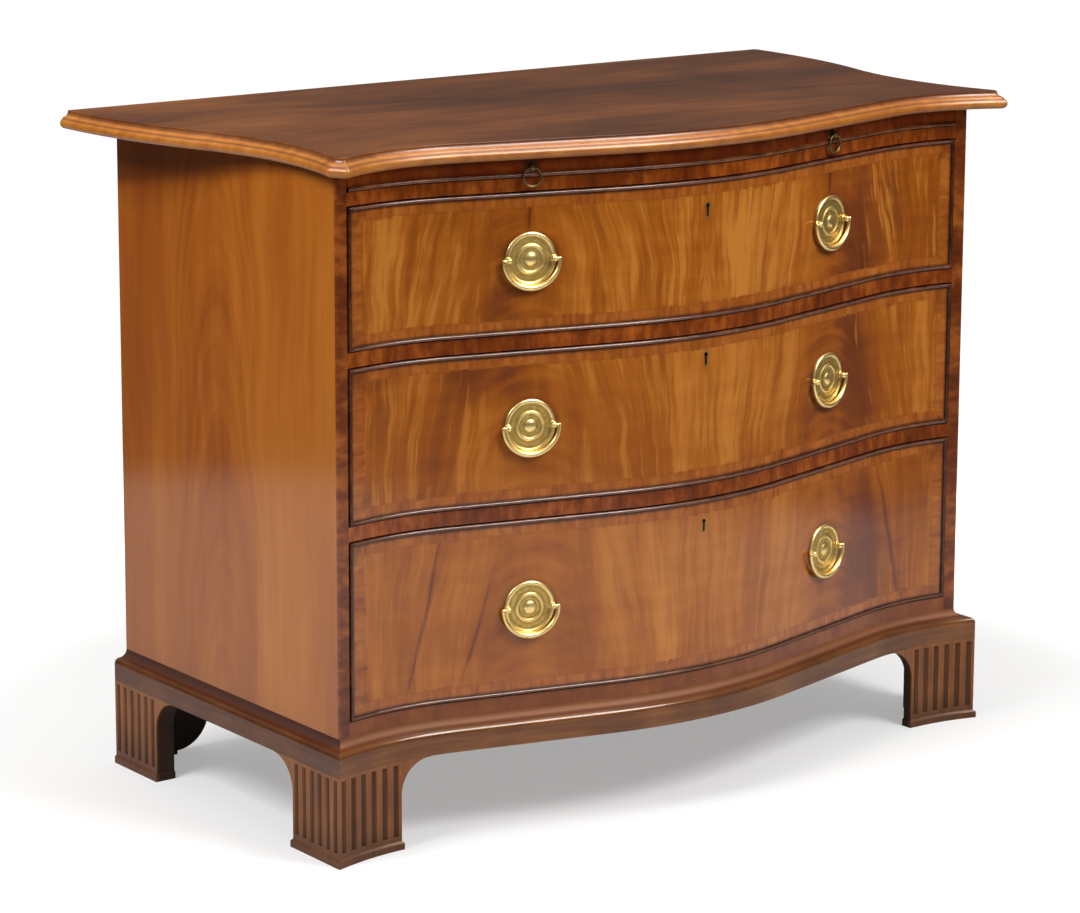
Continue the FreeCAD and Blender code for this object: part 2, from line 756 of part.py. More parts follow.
def make_drawer(drawer, handle_z, key_drop):
    floor, ceiling = drawer_spans[drawer]
    foot = floor + front_lift
    head = ceiling - drawer_gap
    beads = [bead_strip(foot, bead_width), bead_strip(head - bead_width, bead_width)]
    upright = upright_bead(foot + bead_width, head - bead_width)
    beads += [mirrored(upright), upright]

    # Linings
    inset = drawer_half - lining
    side_top = head - side_drop
    lap_y = front_y(drawer_half) + front_lap
    side = box(inset, drawer_half, lap_y, drawer_back_y, floor, side_top)
    bottom_z = floor + bottom_lift
    bottom_half = inset + groove
    bottom = front_slab(groove - front_thickness, drawer_back_y + bottom_overhang, -bottom_half, bottom_half,
                        bottom_z, bottom_z + drawer_bottom)
    back_foot = bottom_z + drawer_bottom
    back_head = side_top - back_drop
    back = box(-drawer_half, drawer_half, drawer_back_y - lining, drawer_back_y, back_foot, back_head)
    front_tails = tails(lap_y, front_y(inset, -front_thickness) + tail_spare, back_foot, side_top)
    back_tails = tails(drawer_back_y, drawer_back_y - lining, back_foot, back_head)

    # Front board, cut for everything that it holds
    front = front_band(0, -front_thickness, -drawer_half, drawer_half, foot, head)
    front = cut_all(front, beads + [bottom])
    for tail in front_tails:
        front = cut_all(front, (tail, mirrored(tail)))
    for tail in back_tails:
        back = cut_all(back, (tail, mirrored(tail)))
    side = cut_all(side, (front, back, bottom))

    # Lock and keyhole
    face = front_y(0)
    inside = face + front_thickness
    key_z = ceiling - key_drop
    lock_y = inside - lock_depth
    lock = box(-lock_half, lock_half, lock_y, inside, head - lock_height, head)
    front = front.cut(box(-lock_half, lock_half, lock_y, inside + lock_depth, head - lock_height, head))
    bolt = bolt_box(head - bolt_length, head, 0.0)
    lock = lock.cut(bolt_box(head - bolt_length - bolt_clearance, head + bolt_throw, bolt_clearance))
    escutcheon_y = face + escutcheon_depth
    outside = keyhole(escutcheon_rim, key_z, face - escutcheon_proud, escutcheon_y)
    way = keyhole(0.0, key_z, face - front_thickness, lock_y + lock_depth / 2)
    front = cut_all(front, (outside, way))
    lock = lock.cut(way)
    escutcheon = outside.cut(way)

    # Handles
    fixed, bail = make_handle()
    brass = []
    bails = {}
    for side_name, sign in (("left", -1), ("right", 1)):
        placed = [on_flank(piece, sign, handle_z) for piece in fixed]
        for piece in placed[1::2]:
            front = front.cut(piece)
        brass += placed
        bails[side_name] = on_flank(bail, sign, handle_z)
    prefix = drawer + "_drawer_"
    return {
        prefix + "front": front,
        prefix + "cock_beads": Part.makeCompound(beads),
        prefix + "sides": Part.makeCompound([mirrored(side), side]),
        prefix + "back": back,
        prefix + "bottom": bottom,
        prefix + "handle_plates": Part.makeCompound(brass),
        prefix + "bail_left": bails["left"],
        prefix + "bail_right": bails["right"],
        prefix + "escutcheon": escutcheon,
        prefix + "lock": lock,
        prefix + "lock_bolt": bolt,
    }


# Brushing slide
def make_ring_boss():
    """Round boss with a drilled eye for a ring pull."""
    eye_end = ring_stand + eye_radius
    boss = turned(boss_profile + (
        (eye_radius, boss_profile[-1][1]),
        (eye_radius, eye_end - eye_chamfer),
        (eye_radius - eye_chamfer, eye_end),
        (0, eye_end),
    ))
    return boss.cut(cross_hole(eye_hole, 2 * eye_radius, ring_stand))


def make_slide():
    lip_foot = slide_floor + front_lift
    lip_head = carcass_top - drawer_gap
    lip = front_slab(0, lip_back, -drawer_half, drawer_half, lip_foot, lip_head)
    bead = bead_strip(lip_foot, slide_bead)
    lip = lip.cut(bead)
    board = box(-drawer_half, drawer_half, lip_back, slide_back, slide_floor, slide_floor + slide_thickness)
    z = slide_floor + ring_height
    ring = Part.makeTorus(ring_radius, ring_wire, Vector(0, -ring_stand, -ring_radius), Vector(0, 1, 0))
    boss = make_ring_boss()
    return {
        "slide_board": board,
        "slide_lip": Part.makeCompound([lip, bead]),
        "slide_ring_bosses": Part.makeCompound([on_flank(boss, -1, z), on_flank(boss, 1, z)]),
        "slide_ring_left": on_flank(ring, -1, z),
        "slide_ring_right": on_flank(ring, 1, z),
    }


def make_chest():
    pieces = {"top_board": make_top()}
    pieces.update(make_carcass())
    front_moulding, side_moulding = make_base_mouldings()
    pieces["base_moulding_front"] = front_moulding
    pieces["base_moulding_right"] = side_moulding
    pieces["base_moulding_left"] = mirrored(side_moulding)
    for place, brackets in (("front", make_front_foot()), ("rear", make_rear_foot())):
        pieces["foot_%s_right" % place] = Part.makeCompound(brackets)
        pieces["foot_%s_left" % place] = Part.makeCompound([mirrored(piece) for piece in brackets])
    pieces["foot_blocks"] = Part.makeCompound(make_foot_blocks())
    pieces.update(make_slide())
    for drawer, handle_z, key_drop in zip(drawer_names, handle_heights, key_drops):
        pieces.update(make_drawer(drawer, handle_z, key_drop))
    return pieces


os.makedirs("parts", exist_ok=True)
for node, shape in make_chest().items():
    shape.exportStep("parts/%s.step" % node)
print("flank angle, degrees", round(math.degrees(flank_angle), 3))
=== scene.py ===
"""Serpentine chest of drawers: polish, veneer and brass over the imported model.

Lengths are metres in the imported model's own frame: +Z is up and the front faces -Y."""
import json
import math

import bmesh
import bpy
from mathutils import Matrix, Vector

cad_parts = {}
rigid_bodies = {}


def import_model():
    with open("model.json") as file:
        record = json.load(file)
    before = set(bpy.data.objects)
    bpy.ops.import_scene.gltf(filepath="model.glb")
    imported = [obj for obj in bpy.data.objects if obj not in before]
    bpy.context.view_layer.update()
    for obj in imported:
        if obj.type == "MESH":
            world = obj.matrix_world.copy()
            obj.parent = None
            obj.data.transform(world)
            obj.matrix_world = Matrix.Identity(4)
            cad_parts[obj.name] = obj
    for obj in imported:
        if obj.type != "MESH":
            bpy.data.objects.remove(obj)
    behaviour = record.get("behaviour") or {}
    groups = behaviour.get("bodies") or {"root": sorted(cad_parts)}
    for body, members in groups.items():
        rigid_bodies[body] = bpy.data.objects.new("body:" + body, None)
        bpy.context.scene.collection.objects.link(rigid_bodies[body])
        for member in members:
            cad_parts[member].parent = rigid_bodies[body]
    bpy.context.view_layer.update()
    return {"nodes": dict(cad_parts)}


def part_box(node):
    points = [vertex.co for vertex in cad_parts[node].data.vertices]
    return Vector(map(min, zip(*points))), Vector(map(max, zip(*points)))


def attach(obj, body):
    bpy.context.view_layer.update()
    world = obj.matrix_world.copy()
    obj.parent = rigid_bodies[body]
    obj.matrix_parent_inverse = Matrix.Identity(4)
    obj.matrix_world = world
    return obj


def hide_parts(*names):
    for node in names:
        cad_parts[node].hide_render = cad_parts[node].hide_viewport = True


for leftover in list(bpy.data.objects):
    bpy.data.objects.remove(leftover)
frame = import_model()
scene = bpy.context.scene

# Serpentine front
half_width = 0.496
front_line = -0.2
bulge = 0.07
hollow = 0.009
bulge_radius = 0.54
hollow_radius = 0.34
carcass_back = 0.29
back_board = 0.244

# Top board
top_foot = 0.828
top_thickness = 0.022
top_overhang = 0.03
top_hollow_radius = 0.23
cant_angle = math.radians(30)
cant_reach = 0.575
corner_ease = 0.004
top_back = 0.3
waist_half = 0.511
waist_y = -0.1
waist_radius = 0.45
shoulder_half = 0.571
shoulder_y = 0.28
nose_radius = 0.0065
nose_fillet = 0.0015
cove_radius = 0.0065
top_arris = 0.001
nose_sweep = 120

# Rounding of the top's arris: inset past the cove, and the share of the arris still to rise
arris_ease = ((0.0001, 0.4), (0.0007, 0.0))

# Base moulding
base_foot = 0.11
base_ledge = 0.126
base_head = 0.149
base_projection = 0.018
base_nose = 0.007
base_cove_rise = 0.01
base_inset = 0.04

# Drawers, lower to upper: foot and head of each front, and the height of its handles
drawer_half = 0.4785
drawer_fronts = {
    "lower": (0.168, 0.3855, 0.276),
    "middle": (0.406, 0.5935, 0.501),
    "upper": (0.614, 0.7845, 0.704),
}
bead_width = 0.0045
bead_proud = 0.003
bead_inset = 0.0075
slide_bead_width = 0.005
slide_bead_proud = 0.0034
rail_banding = 0.0135
end_banding = 0.018
band_strip = 0.006
# Painted shadow round each handle plate: where it starts to fade, where it is gone, and how far below the
# plate it is centred
plate_shadow_from = 0.031
plate_shadow_to = 0.042
plate_shadow_sag = 0.003

# Handles and ring pulls
handle_x = 0.237
post_spacing = 0.0295
post_stand = 0.006
bail_radius = 0.0362
bail_drop = 0.0343
bail_end = 0.0022
bail_swell = 0.0013
bail_swell_power = 1.5
bail_cap_sweep = 80
pin_radius = 0.0015
ring_z = 0.815
ring_radius = 0.0115
ring_wire = 0.0015
ring_stand = 0.006
both_sides = (("left", -1), ("right", 1))

# Fineness of the meshes: steps along each line, and points round each rod and turned form
top_front_steps = 60
top_side_steps = 32
top_corner_steps = 6
top_nose_steps = 10
top_cove_steps = 8
base_front_steps = 140
base_nose_steps = 8
base_cove_steps = 12
bead_steps = 110
bead_end_steps = 24
bead_nose_steps = 10
plate_points = 72
post_points = 32
boss_points = 40
bail_steps = 44
bail_cap_steps = 4
bail_points = 20
pin_points = 16
ring_steps = 56
ring_points = 16

# Sharpest edge that is shaded smooth, in degrees
top_crease = 30.0
bead_crease = 32.0
plain_crease = 38.0

hollow_x = half_width - math.sqrt(2 * hollow_radius * hollow - hollow ** 2)
hollow_y = front_line + hollow - hollow_radius
bulge_y = front_line - bulge + bulge_radius
circles_apart = math.hypot(hollow_x, bulge_y - hollow_y)
flank_angle = (math.atan2(hollow_x, bulge_y - hollow_y)
               - math.acos((bulge_radius + hollow_radius) / circles_apart))


def front_y(x, forward=0.0):
    """Y of the serpentine front at x, moved out by forward."""
    x = abs(x)
    start = (bulge_radius + forward) * math.sin(flank_angle)
    end = hollow_x - (hollow_radius - forward) * math.sin(flank_angle)
    if x <= start:
        return bulge_y - math.sqrt((bulge_radius + forward) ** 2 - x ** 2)
    if x >= end:
        return hollow_y + math.sqrt((hollow_radius - forward) ** 2 - (x - hollow_x) ** 2)
    start_y = bulge_y - (bulge_radius + forward) * math.cos(flank_angle)
    return start_y + (x - start) * math.tan(flank_angle)


def shares(count):
    return [index / count for index in range(count + 1)]


# Shader arithmetic
class Tone:
    """A shader socket that arithmetic works on."""

    def __init__(self, tree, socket=None):
        self.tree = tree
        self.socket = socket

    def add(self, kind, settings=None, sockets=None, output=0):
        """Adds a node: its settings are set first, then the values or links of its sockets."""
        node = self.tree.nodes.new("ShaderNode" + kind)
        for name, value in (settings or {}).items():
            if name == "stops":
                set_stops(node.color_ramp, value)
            else:
                setattr(node, name, value)
        for key, value in (sockets or {}).items():
            if isinstance(value, Tone):
                self.tree.links.new(value.socket, node.inputs[key])
            else:
                node.inputs[key].default_value = value
        return Tone(self.tree, node.outputs[output] if node.outputs else None)

    def out(self, output):
        """Another output of the same node."""
        return Tone(self.tree, self.socket.node.outputs[output])

    def maths(self, operation, *values):
        return self.add("Math", {"operation": operation}, dict(enumerate(values)))

    def __add__(self, other):
        return self.maths("ADD", self, other)

    def __sub__(self, other):
        return self.maths("SUBTRACT", self, other)

    def __rsub__(self, other):
        return self.maths("SUBTRACT", other, self)

    def __mul__(self, other):
        return self.maths("MULTIPLY", self, other)

    def __truediv__(self, other):
        return self.maths("DIVIDE", self, other)

    def __rtruediv__(self, other):
        return self.maths("DIVIDE", other, self)

    def __abs__(self):
        return self.maths("ABSOLUTE", self)

    __radd__ = __add__
    __rmul__ = __mul__


def set_stops(colour_ramp, stops):
    """Puts the stops of a colour ramp, given as place and colour, in order."""
    while len(colour_ramp.elements) < len(stops):
        colour_ramp.elements.new(1.0)
    for element, (place, colour) in zip(colour_ramp.elements, stops):
        element.position = place
        element.color = (*colour, 1.0)


def least(a, b):
    return a.maths("MINIMUM", a, b)


def most(a, b):
    return a.maths("MAXIMUM", a, b)


def rise(value, low, high):
    """0 below low, 1 above high and a smooth step between."""
    sockets = {"Value": value, "From Min": low, "From Max": high}
    return value.add("MapRange", {"interpolation_type": "SMOOTHSTEP"}, sockets)


def point(x, y, z):
    return x.add("CombineXYZ", {}, {0: x, 1: y, 2: z})


def cloud(place, detail=2.0, rough=0.5):
    """Soft noise from 0 to 1, one swell to each unit of place."""
    return place.add("TexNoise", {}, {"Vector": place, "Scale": 1.0, "Detail": detail, "Roughness": rough})


def ramp(value, places, tones):
    """Colour of value, blended between the tones that stand at those places."""
    return value.add("ValToRGB", {"stops": list(zip(places, tones))}, {0: value})


def mix(share, under, over):
    """Colour under, covered by colour over by that share."""
    covers = {}
    for key, colour in ((6, under), (7, over)):
        covers[key] = colour if isinstance(colour, Tone) else (*colour, 1.0)
    return share.add("Mix", {"data_type": "RGBA"}, {0: share, **covers}, 2)


class Finish:
    """A material under way, with the place on the chest that it is asked for."""

    def __init__(self, name):
        self.material = bpy.data.materials.new(name)
        self.material.use_nodes = True
        tree = self.material.node_tree
        tree.nodes.clear()
        place = Tone(tree).add("TexCoord", {}, {}, "Object")
        self.x = place.add("SeparateXYZ", {}, {0: place})
        self.y = self.x.out(1)
        self.z = self.x.out(2)

    def close(self, colour, roughness, relief=None, depth=0.0, specular=0.5, metallic=0.0):
        """Ends the material; relief is a height from 0 to 1 and depth what it stands for."""
        sockets = {
            "Base Color": colour,
            "Roughness": roughness,
            "Specular IOR Level": specular,
            "Metallic": metallic,
        }
        if relief is not None:
            sockets["Normal"] = relief.add("Bump", {}, {"Height": relief, "Distance": depth})
        shader = self.x.add("BsdfPrincipled", {}, sockets)
        self.x.add("OutputMaterial", {}, {"Surface": shader})
        return self.material


# Mahogany
deep = (0.085, 0.018, 0.004)
dark = (0.17, 0.039, 0.007)
brown = (0.29, 0.074, 0.005)
warm = (0.375, 0.108, 0.009)
gold = (0.52, 0.188, 0.027)
# Painted shade and shadow on the drawer fronts
painted_shade_brown = (0.04, 0.01, 0.004)
polish = 0.09
three_places = (0.3, 0.52, 0.75)


def pores(finish, across, along):
    """Fine open grain that runs in the direction of along."""
    return cloud(point(across * 1400, finish.y * 300, along * 60), 2.0, 0.6)


def open_pores(colour, grain, share, start=0.6):
    """Colour, darkened in the open grain by that share."""
    return mix(rise(grain, start, 0.8) * share, colour, deep)


def strips(along, across, width, seed):
    """Short cross-cut strips side by side, soft and uneven, as a tone from 0 to 1."""
    broad = cloud(point(along * (0.2 / width), seed, across * 12), 2.0)
    streaks = cloud(point(along * (0.7 / width), seed + 3.0, across * 30), 3.0, 0.65)
    return streaks * 0.8 + broad * 0.5 - 0.15


def cross_cut(finish, along, across, width, seed):
    """Tone of cross-cut strips that turn paler and darker in broad patches."""
    patch = cloud(point(finish.x * 9, seed, finish.z * 9)) * 0.5
    return strips(along, across, width, seed) + patch - 0.25


def make_drawer_veneer(drawer, seed, feathers, patches, lines):
    """Flame veneer with a heart at each handle and a cross-grained band round it.

    feathers is how much pale feathering shows. patches and lines are darker or paler marks of the figure:
    x, z, reach along x, reach along z, and weight; a line also leans, by a share of its height."""
    foot, head, handle_z = drawer_fronts[drawer]
    finish = Finish(drawer + "_drawer_veneer")
    vein_brown = (0.2, 0.045, 0.005)
    band_tones = ((0.17, 0.038, 0.006), (0.32, 0.084, 0.01), (0.49, 0.165, 0.025))
    x = finish.x
    z = finish.z
    leaf = abs(x)
    sheet = x * 4 + seed
    sway = cloud(point(x * 6, seed, z * 9), 2.0) - 0.5
    off_heart = leaf - handle_x + sway * 0.03
    near = 1 - rise(abs(off_heart), 0.1, 0.22)
    fan = off_heart / (1 + (head - z) * near * 2.4)
    heart = 1 - rise(abs(off_heart), 0.02, 0.08)
    broad = cloud(point(fan * 18, sheet + 5.0, z * 3), 2.0)
    feather = cloud(point(fan * 95, sheet + 2.0, z * 10), 2.0, 0.55)
    thread = cloud(point(fan * 240, sheet + 8.0, z * 12), 2.0, 0.55)
    arches = cloud(point((z + off_heart * off_heart * 7) * 70, sheet, leaf * 9), 2.0)
    ripple = cloud(point(x * 12, seed + 12.0, z * 55), 2.0)
    figure = broad * 0.55 + (arches - 0.5) * heart * 0.32 - heart * 0.04 + ripple * 0.16 + 0.19
    for mark_x, mark_z, reach_x, reach_z, weight in patches:
        away_x = (x - mark_x + sway * 0.04) / reach_x
        away_z = (z - mark_z) / reach_z
        away = away_x * away_x + away_z * away_z
        figure = figure + weight / (1 + away * away)
    for mark_x, mark_z, width, reach, lean, weight in lines:
        off = (x - mark_x - (z - mark_z) * lean + sway * 0.02) / width
        far = (z - mark_z) / reach
        figure = figure + weight / ((1 + off * off) * (1 + far * far * far * far))
    colour = ramp(figure, (0.22, 0.36, 0.48, 0.6, 0.78), (deep, dark, brown, warm, gold))
    plume = rise(feather * 0.7 + thread * 0.3 + (figure - 0.5) * 0.35, 0.5, 0.66) * (1 - heart * 0.85)
    colour = mix(plume * feathers, colour, gold)
    vein = rise(0.5 - feather * 0.6 - thread * 0.4, 0.02, 0.14) * (1 - heart * 0.5)
    colour = mix(vein * (0.2 + feathers * 0.4), colour, vein_brown)

    # Cross-grained band along the edges
    end_gap = drawer_half - bead_width - leaf
    rail_gap = least(head - bead_width - z, z - foot - bead_width)
    fitted_end_gap = end_gap * (rail_banding / end_banding)
    upright = rise(rail_gap - fitted_end_gap, -0.0005, 0.0005)
    along = x + upright * (z - x)
    across = z + upright * (x - z)
    strip = strips(along, across, band_strip, seed)
    band = ramp(strip, (0.22, 0.48, 0.78), band_tones)
    wander = (cloud(point(x * 90, seed, z * 90)) - 0.5) * 0.003 + (strip - 0.5) * 0.012
    edge = least(fitted_end_gap, rail_gap) + wander
    colour = mix(rise(edge, rail_banding - 0.001, rail_banding + 0.001), band, colour)
    joint = 1 - rise(abs(edge - rail_banding), 0.0002, 0.0012)
    colour = mix(joint * 0.3, colour, dark)

    # Dirt in the corners, painted shade along the beads and a painted shadow round the plates
    corner = 1 - rise(most(end_gap, rail_gap), 0.004, 0.04)
    blot = cloud(point(x * 40, seed, z * 40), 3.0, 0.6)
    colour = mix(corner * rise(blot, 0.3, 0.7) * 0.7, colour, deep)
    # Painted shade along the beads, where they stand out from the front
    bead_shade = 1 - rise(least(end_gap, rail_gap), 0.0, 0.0045)
    colour = mix(bead_shade * (0.35 + blot * 0.8), colour, painted_shade_brown)
    # Painted shadow round each handle plate, centred a little below it
    aside = leaf - handle_x
    below = z - handle_z + plate_shadow_sag
    squared = aside * aside + below * below
    plate_shadow_mask = 1 - rise(squared.maths("SQRT", squared), plate_shadow_from, plate_shadow_to)
    colour = mix(plate_shadow_mask * 0.65, colour, painted_shade_brown)
    grain = pores(finish, x, z)
    colour = open_pores(colour, grain, 0.14)
    return finish.close(colour, polish + cloud(point(x * 14, seed, z * 14)) * 0.08, grain, depth=0.00005)


def make_cross_grain(name, axis, width, seed, tones):
    """Cross-cut mahogany of rails and facings, its strips following one another along axis."""
    finish = Finish(name)
    along = getattr(finish, axis)
    across = finish.x if axis == "z" else finish.z
    colour = ramp(cross_cut(finish, along, across, width, seed), (0.2, 0.48, 0.8), tones)
    grain = pores(finish, along, across)
    colour = open_pores(colour, grain, 0.2, 0.58)
    roughness = polish + cloud(point(finish.x * 20, seed, finish.z * 20)) * 0.1
    return finish.close(colour, roughness, grain, depth=0.00005, specular=0.35)


def make_side_mahogany():
    """Upright mahogany of the carcass sides, with a tall quiet flame of nested arches and a painted shadow
    under the top.
    """
    finish = Finish("side_mahogany")
    tones = ((0.23, 0.052, 0.0045), (0.325, 0.087, 0.0075), (0.45, 0.15, 0.016))
    overhang_shadow_brown = (0.085, 0.02, 0.003)
    heart_y = 0.06
    x = finish.x
    y = finish.y
    z = finish.z
    sway = cloud(point(y * 3, x * 2, z * 2.5), 2.0) - 0.5
    off_heart = y - heart_y + sway * 0.07
    steep = off_heart * off_heart * 40
    arches = cloud(point((z + steep) * 17, x * 3, off_heart * 5), 3.0, 0.6)
    inside = 1 - rise(abs(off_heart), 0.05, 0.13)
    broad = cloud(point(off_heart * 8, x * 3 + 4.0, z * 1.6), 2.0)
    streak = cloud(point(off_heart * 45, x * 3, z * 3), 3.0, 0.55)
    figure = (arches - 0.5) * (0.1 + inside * 0.32) + broad * 0.55 + streak * 0.32
    figure = figure + (0.02 - y) * 0.2 + 0.065
    colour = ramp(figure, (0.32, 0.5, 0.72), tones)
    # Painted shadow under the top's overhang, reaching lower towards the back where the top stands out
    # further
    overhang = most(y - waist_y, 0.0) * 0.16 + 0.014
    overhang_shadow = rise(z + overhang - top_foot, -0.008, 0.012)
    colour = mix(overhang_shadow * 0.6, colour, overhang_shadow_brown)
    grain = pores(finish, y, z)
    colour = open_pores(colour, grain, 0.12)
    return finish.close(colour, 0.045 + cloud(point(y * 9, x, z * 9)) * 0.03, grain, depth=0.00004)


def make_top_mahogany():
    """Long-grained, darker mahogany of the top, with worn mouldings, painted shade above the nose and a
    painted reflection towards the left end.
    """
    finish = Finish("top_mahogany")
    board_tones = ((0.045, 0.012, 0.003), (0.12, 0.034, 0.0075), (0.26, 0.085, 0.017))
    nose_tones = ((0.17, 0.05, 0.006), (0.38, 0.12, 0.013), (0.56, 0.235, 0.034))
    cove_tones = ((0.06, 0.016, 0.003), (0.16, 0.045, 0.007), (0.34, 0.115, 0.02))
    worn_places = (0.25, 0.5, 0.78)
    x = finish.x
    sway = cloud(point(x * 2, finish.y * 3, 1.0), 2.0) - 0.5
    across = finish.y + sway * 0.12
    streak = cloud(point(x * 2.2, across * 30, 2.0), 3.0, 0.6)
    broad = cloud(point(x * 2, across * 5, 5.0), 2.0)
    mottle = cloud(point(x * 14, across * 34, 3.0), 3.0, 0.6)
    thread = cloud(point(x * 8, across * 200, 7.0), 2.0)
    # Painted reflection: the top turns paler towards its left end
    end = (x + 0.46) / 0.16
    figure = streak * 0.24 + broad * 0.6 + mottle * 0.24 + thread * 0.12 + 0.12 / (1 + end * end) - 0.1
    board = ramp(figure, (0.34, 0.54, 0.8), board_tones)
    chips = strips(x + finish.y, finish.z, 0.009, 31.0)
    blotch = cloud(point(x * 55, finish.y * 55, finish.z * 90), 3.0, 0.6)
    worn = chips * 0.35 + figure * 0.35 + blotch * 0.4 - 0.05
    nose = ramp(worn, worn_places, nose_tones)
    cove = ramp(worn, worn_places, cove_tones)
    above_nose = finish.z - top_foot - nose_radius * 2
    moulded = 1 - rise(finish.z, top_foot + 0.0185, top_foot + 0.0212)
    colour = mix(moulded, board, mix(rise(above_nose, 0.0015, 0.005), nose, cove))
    # Painted shade in the crease above the nose
    nose_crease_shade = 1 - rise(abs(finish.z - top_foot - nose_radius * 1.9), 0.0004, 0.0018)
    colour = mix(nose_crease_shade * 0.6, colour, deep)
    grain = pores(finish, finish.y, x)
    colour = open_pores(colour, grain, 0.18)
    return finish.close(colour, 0.13 + broad * 0.1 + moulded * 0.16, grain, depth=0.00005)


def slide_board_tone(finish):
    """Plain long grain of the slide's board, which daylight seldom reaches."""
    tones = ((0.095, 0.026, 0.006), (0.17, 0.052, 0.012), (0.27, 0.098, 0.025))
    x = finish.x
    sway = cloud(point(x * 2, finish.y * 3, 1.0), 2.0) - 0.5
    across = finish.y + sway * 0.07
    streak = cloud(point(x * 2.5, across * 70, 2.0), 3.0, 0.6)
    broad = cloud(point(x * 1.5, across * 11, 6.0), 2.0)
    return ramp(streak * 0.55 + broad * 0.45, (0.32, 0.52, 0.74), tones)


def make_slide_board_mahogany():
    finish = Finish("slide_board_mahogany")
    grain = pores(finish, finish.y, finish.x)
    colour = open_pores(slide_board_tone(finish), grain, 0.2)
    return finish.close(colour, 0.2 + grain * 0.1, grain, depth=0.00005)


def make_slide_lip_mahogany():
    """Red cross-grained mahogany of the slide's lip: a dark bead, a painted shadow under the top, and an
    upper face like the board's.
    """
    finish = Finish("slide_lip_mahogany")
    tones = ((0.15, 0.022, 0.002), (0.33, 0.055, 0.004), (0.47, 0.12, 0.012))
    bead_brown = (0.05, 0.013, 0.004)
    overhang_shadow_brown = (0.03, 0.006, 0.002)
    x = finish.x
    z = finish.z
    low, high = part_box("slide_lip")
    foot = low[2]
    head = high[2]
    colour = ramp(cross_cut(finish, x, z, 0.012, 14.0), (0.2, 0.48, 0.8), tones)
    bead = 1 - rise(z, foot + 0.0039, foot + 0.0043)
    colour = mix(bead * 0.85, colour, bead_brown)
    # Painted shadow of the top's overhang along the lip's upper edge
    colour = mix(rise(z, head - 0.012, head - 0.002) * 0.75, colour, overhang_shadow_brown)
    colour = mix(rise(z, head - 0.0004, head - 0.0001), colour, slide_board_tone(finish))
    grain = pores(finish, x, z)
    colour = open_pores(colour, grain, 0.2, 0.58)
    return finish.close(colour, 0.14 + bead * 0.1, grain, depth=0.00005, specular=0.4)


def make_base_mahogany(name, tones, cove):
    """Red-brown of a base moulding, its hollow in a tone of its own, with painted shade along the quirk."""
    finish = Finish(name)
    streak = cloud(point(finish.x * 9, finish.y * 9, finish.z * 140), 3.0, 0.55)
    blot = cloud(point(finish.x * 14, finish.y * 14, finish.z * 14), 2.0)
    colour = ramp(streak * 0.5 + blot * 0.5, three_places, tones)
    above_nose = finish.z - (base_head - base_cove_rise)
    hollow_share = rise(above_nose, -0.0015, 0.002)
    colour = mix(hollow_share * (0.45 + blot * 0.6), colour, cove)
    # Painted shade in the quirk above the nose
    quirk_shade = 1 - rise(abs(above_nose - 0.0008), 0.0004, 0.0016)
    colour = mix(quirk_shade * 0.7, colour, deep)
    roughness = 0.14 + blot * 0.08 + hollow_share * 0.45
    grain = pores(finish, finish.z, finish.x)
    return finish.close(colour, roughness, grain, depth=0.00003, specular=0.4)


def make_foot_mahogany():
    """Brown of the feet, with painted shade in the flutes, dark on the faces that turn inwards and darker
    towards the bottom.
    """
    finish = Finish("foot_mahogany")
    tones = ((0.105, 0.031, 0.007), (0.205, 0.068, 0.016), (0.31, 0.115, 0.03))
    bottom_brown = (0.035, 0.014, 0.007)
    flute_shade_brown = (0.02, 0.006, 0.0025)
    inner_brown = (0.035, 0.017, 0.009)
    x = finish.x
    y = finish.y
    z = finish.z
    leaf = abs(x)
    from_hollow = leaf - hollow_x
    face_radius = hollow_radius - base_projection
    behind_front = y - (hollow_y + face_radius) + from_hollow * from_hollow * (0.5 / face_radius)
    recess = least(half_width + base_projection - leaf, behind_front)
    streak = cloud(point(x * 160, y * 160, z * 9), 3.0, 0.55)
    blot = cloud(point(x * 14, y * 14, z * 14), 2.0)
    colour = ramp(streak * 0.5 + blot * 0.5, three_places, tones)
    # Darker towards the bottom
    near_floor = 1 - rise(z, 0.0, 0.05)
    colour = mix(near_floor * 0.55, colour, bottom_brown)
    # Painted shade in the flutes
    flute = rise(recess, 0.0004, 0.0036)
    colour = mix(flute * 0.85, colour, flute_shade_brown)
    inner = rise(recess, 0.006, 0.02)
    colour = mix(inner, colour, inner_brown)
    roughness = 0.3 + blot * 0.12 + flute * 0.3
    return finish.close(colour, roughness, pores(finish, x, z), depth=0.00005, specular=0.35)


def make_bead_mahogany(name, tones):
    """Dark mahogany of the beads, paler along the nose of the level runs: partly rubbed wear, partly a
    painted highlight.
    """
    finish = Finish(name)
    rubbed_sheen_tan = (0.33, 0.14, 0.075)
    nose = finish.x.add("Attribute", {"attribute_name": "wear"}, {}, "Fac")
    blot = cloud(point(finish.x * 45, finish.y * 20, finish.z * 45), 3.0, 0.6)
    colour = ramp(blot, three_places, tones)
    # Paler along the nose of the level runs only: partly rubbed wear, partly a painted highlight
    level = 1 - rise(abs(finish.x), drawer_half - 0.009, drawer_half - 0.005)
    rubbed = rise(nose + (blot - 0.5) * 0.5, 0.6, 1.0) * level
    colour = mix(rubbed * 0.3, colour, rubbed_sheen_tan)
    return finish.close(colour, 0.24 + blot * 0.04)


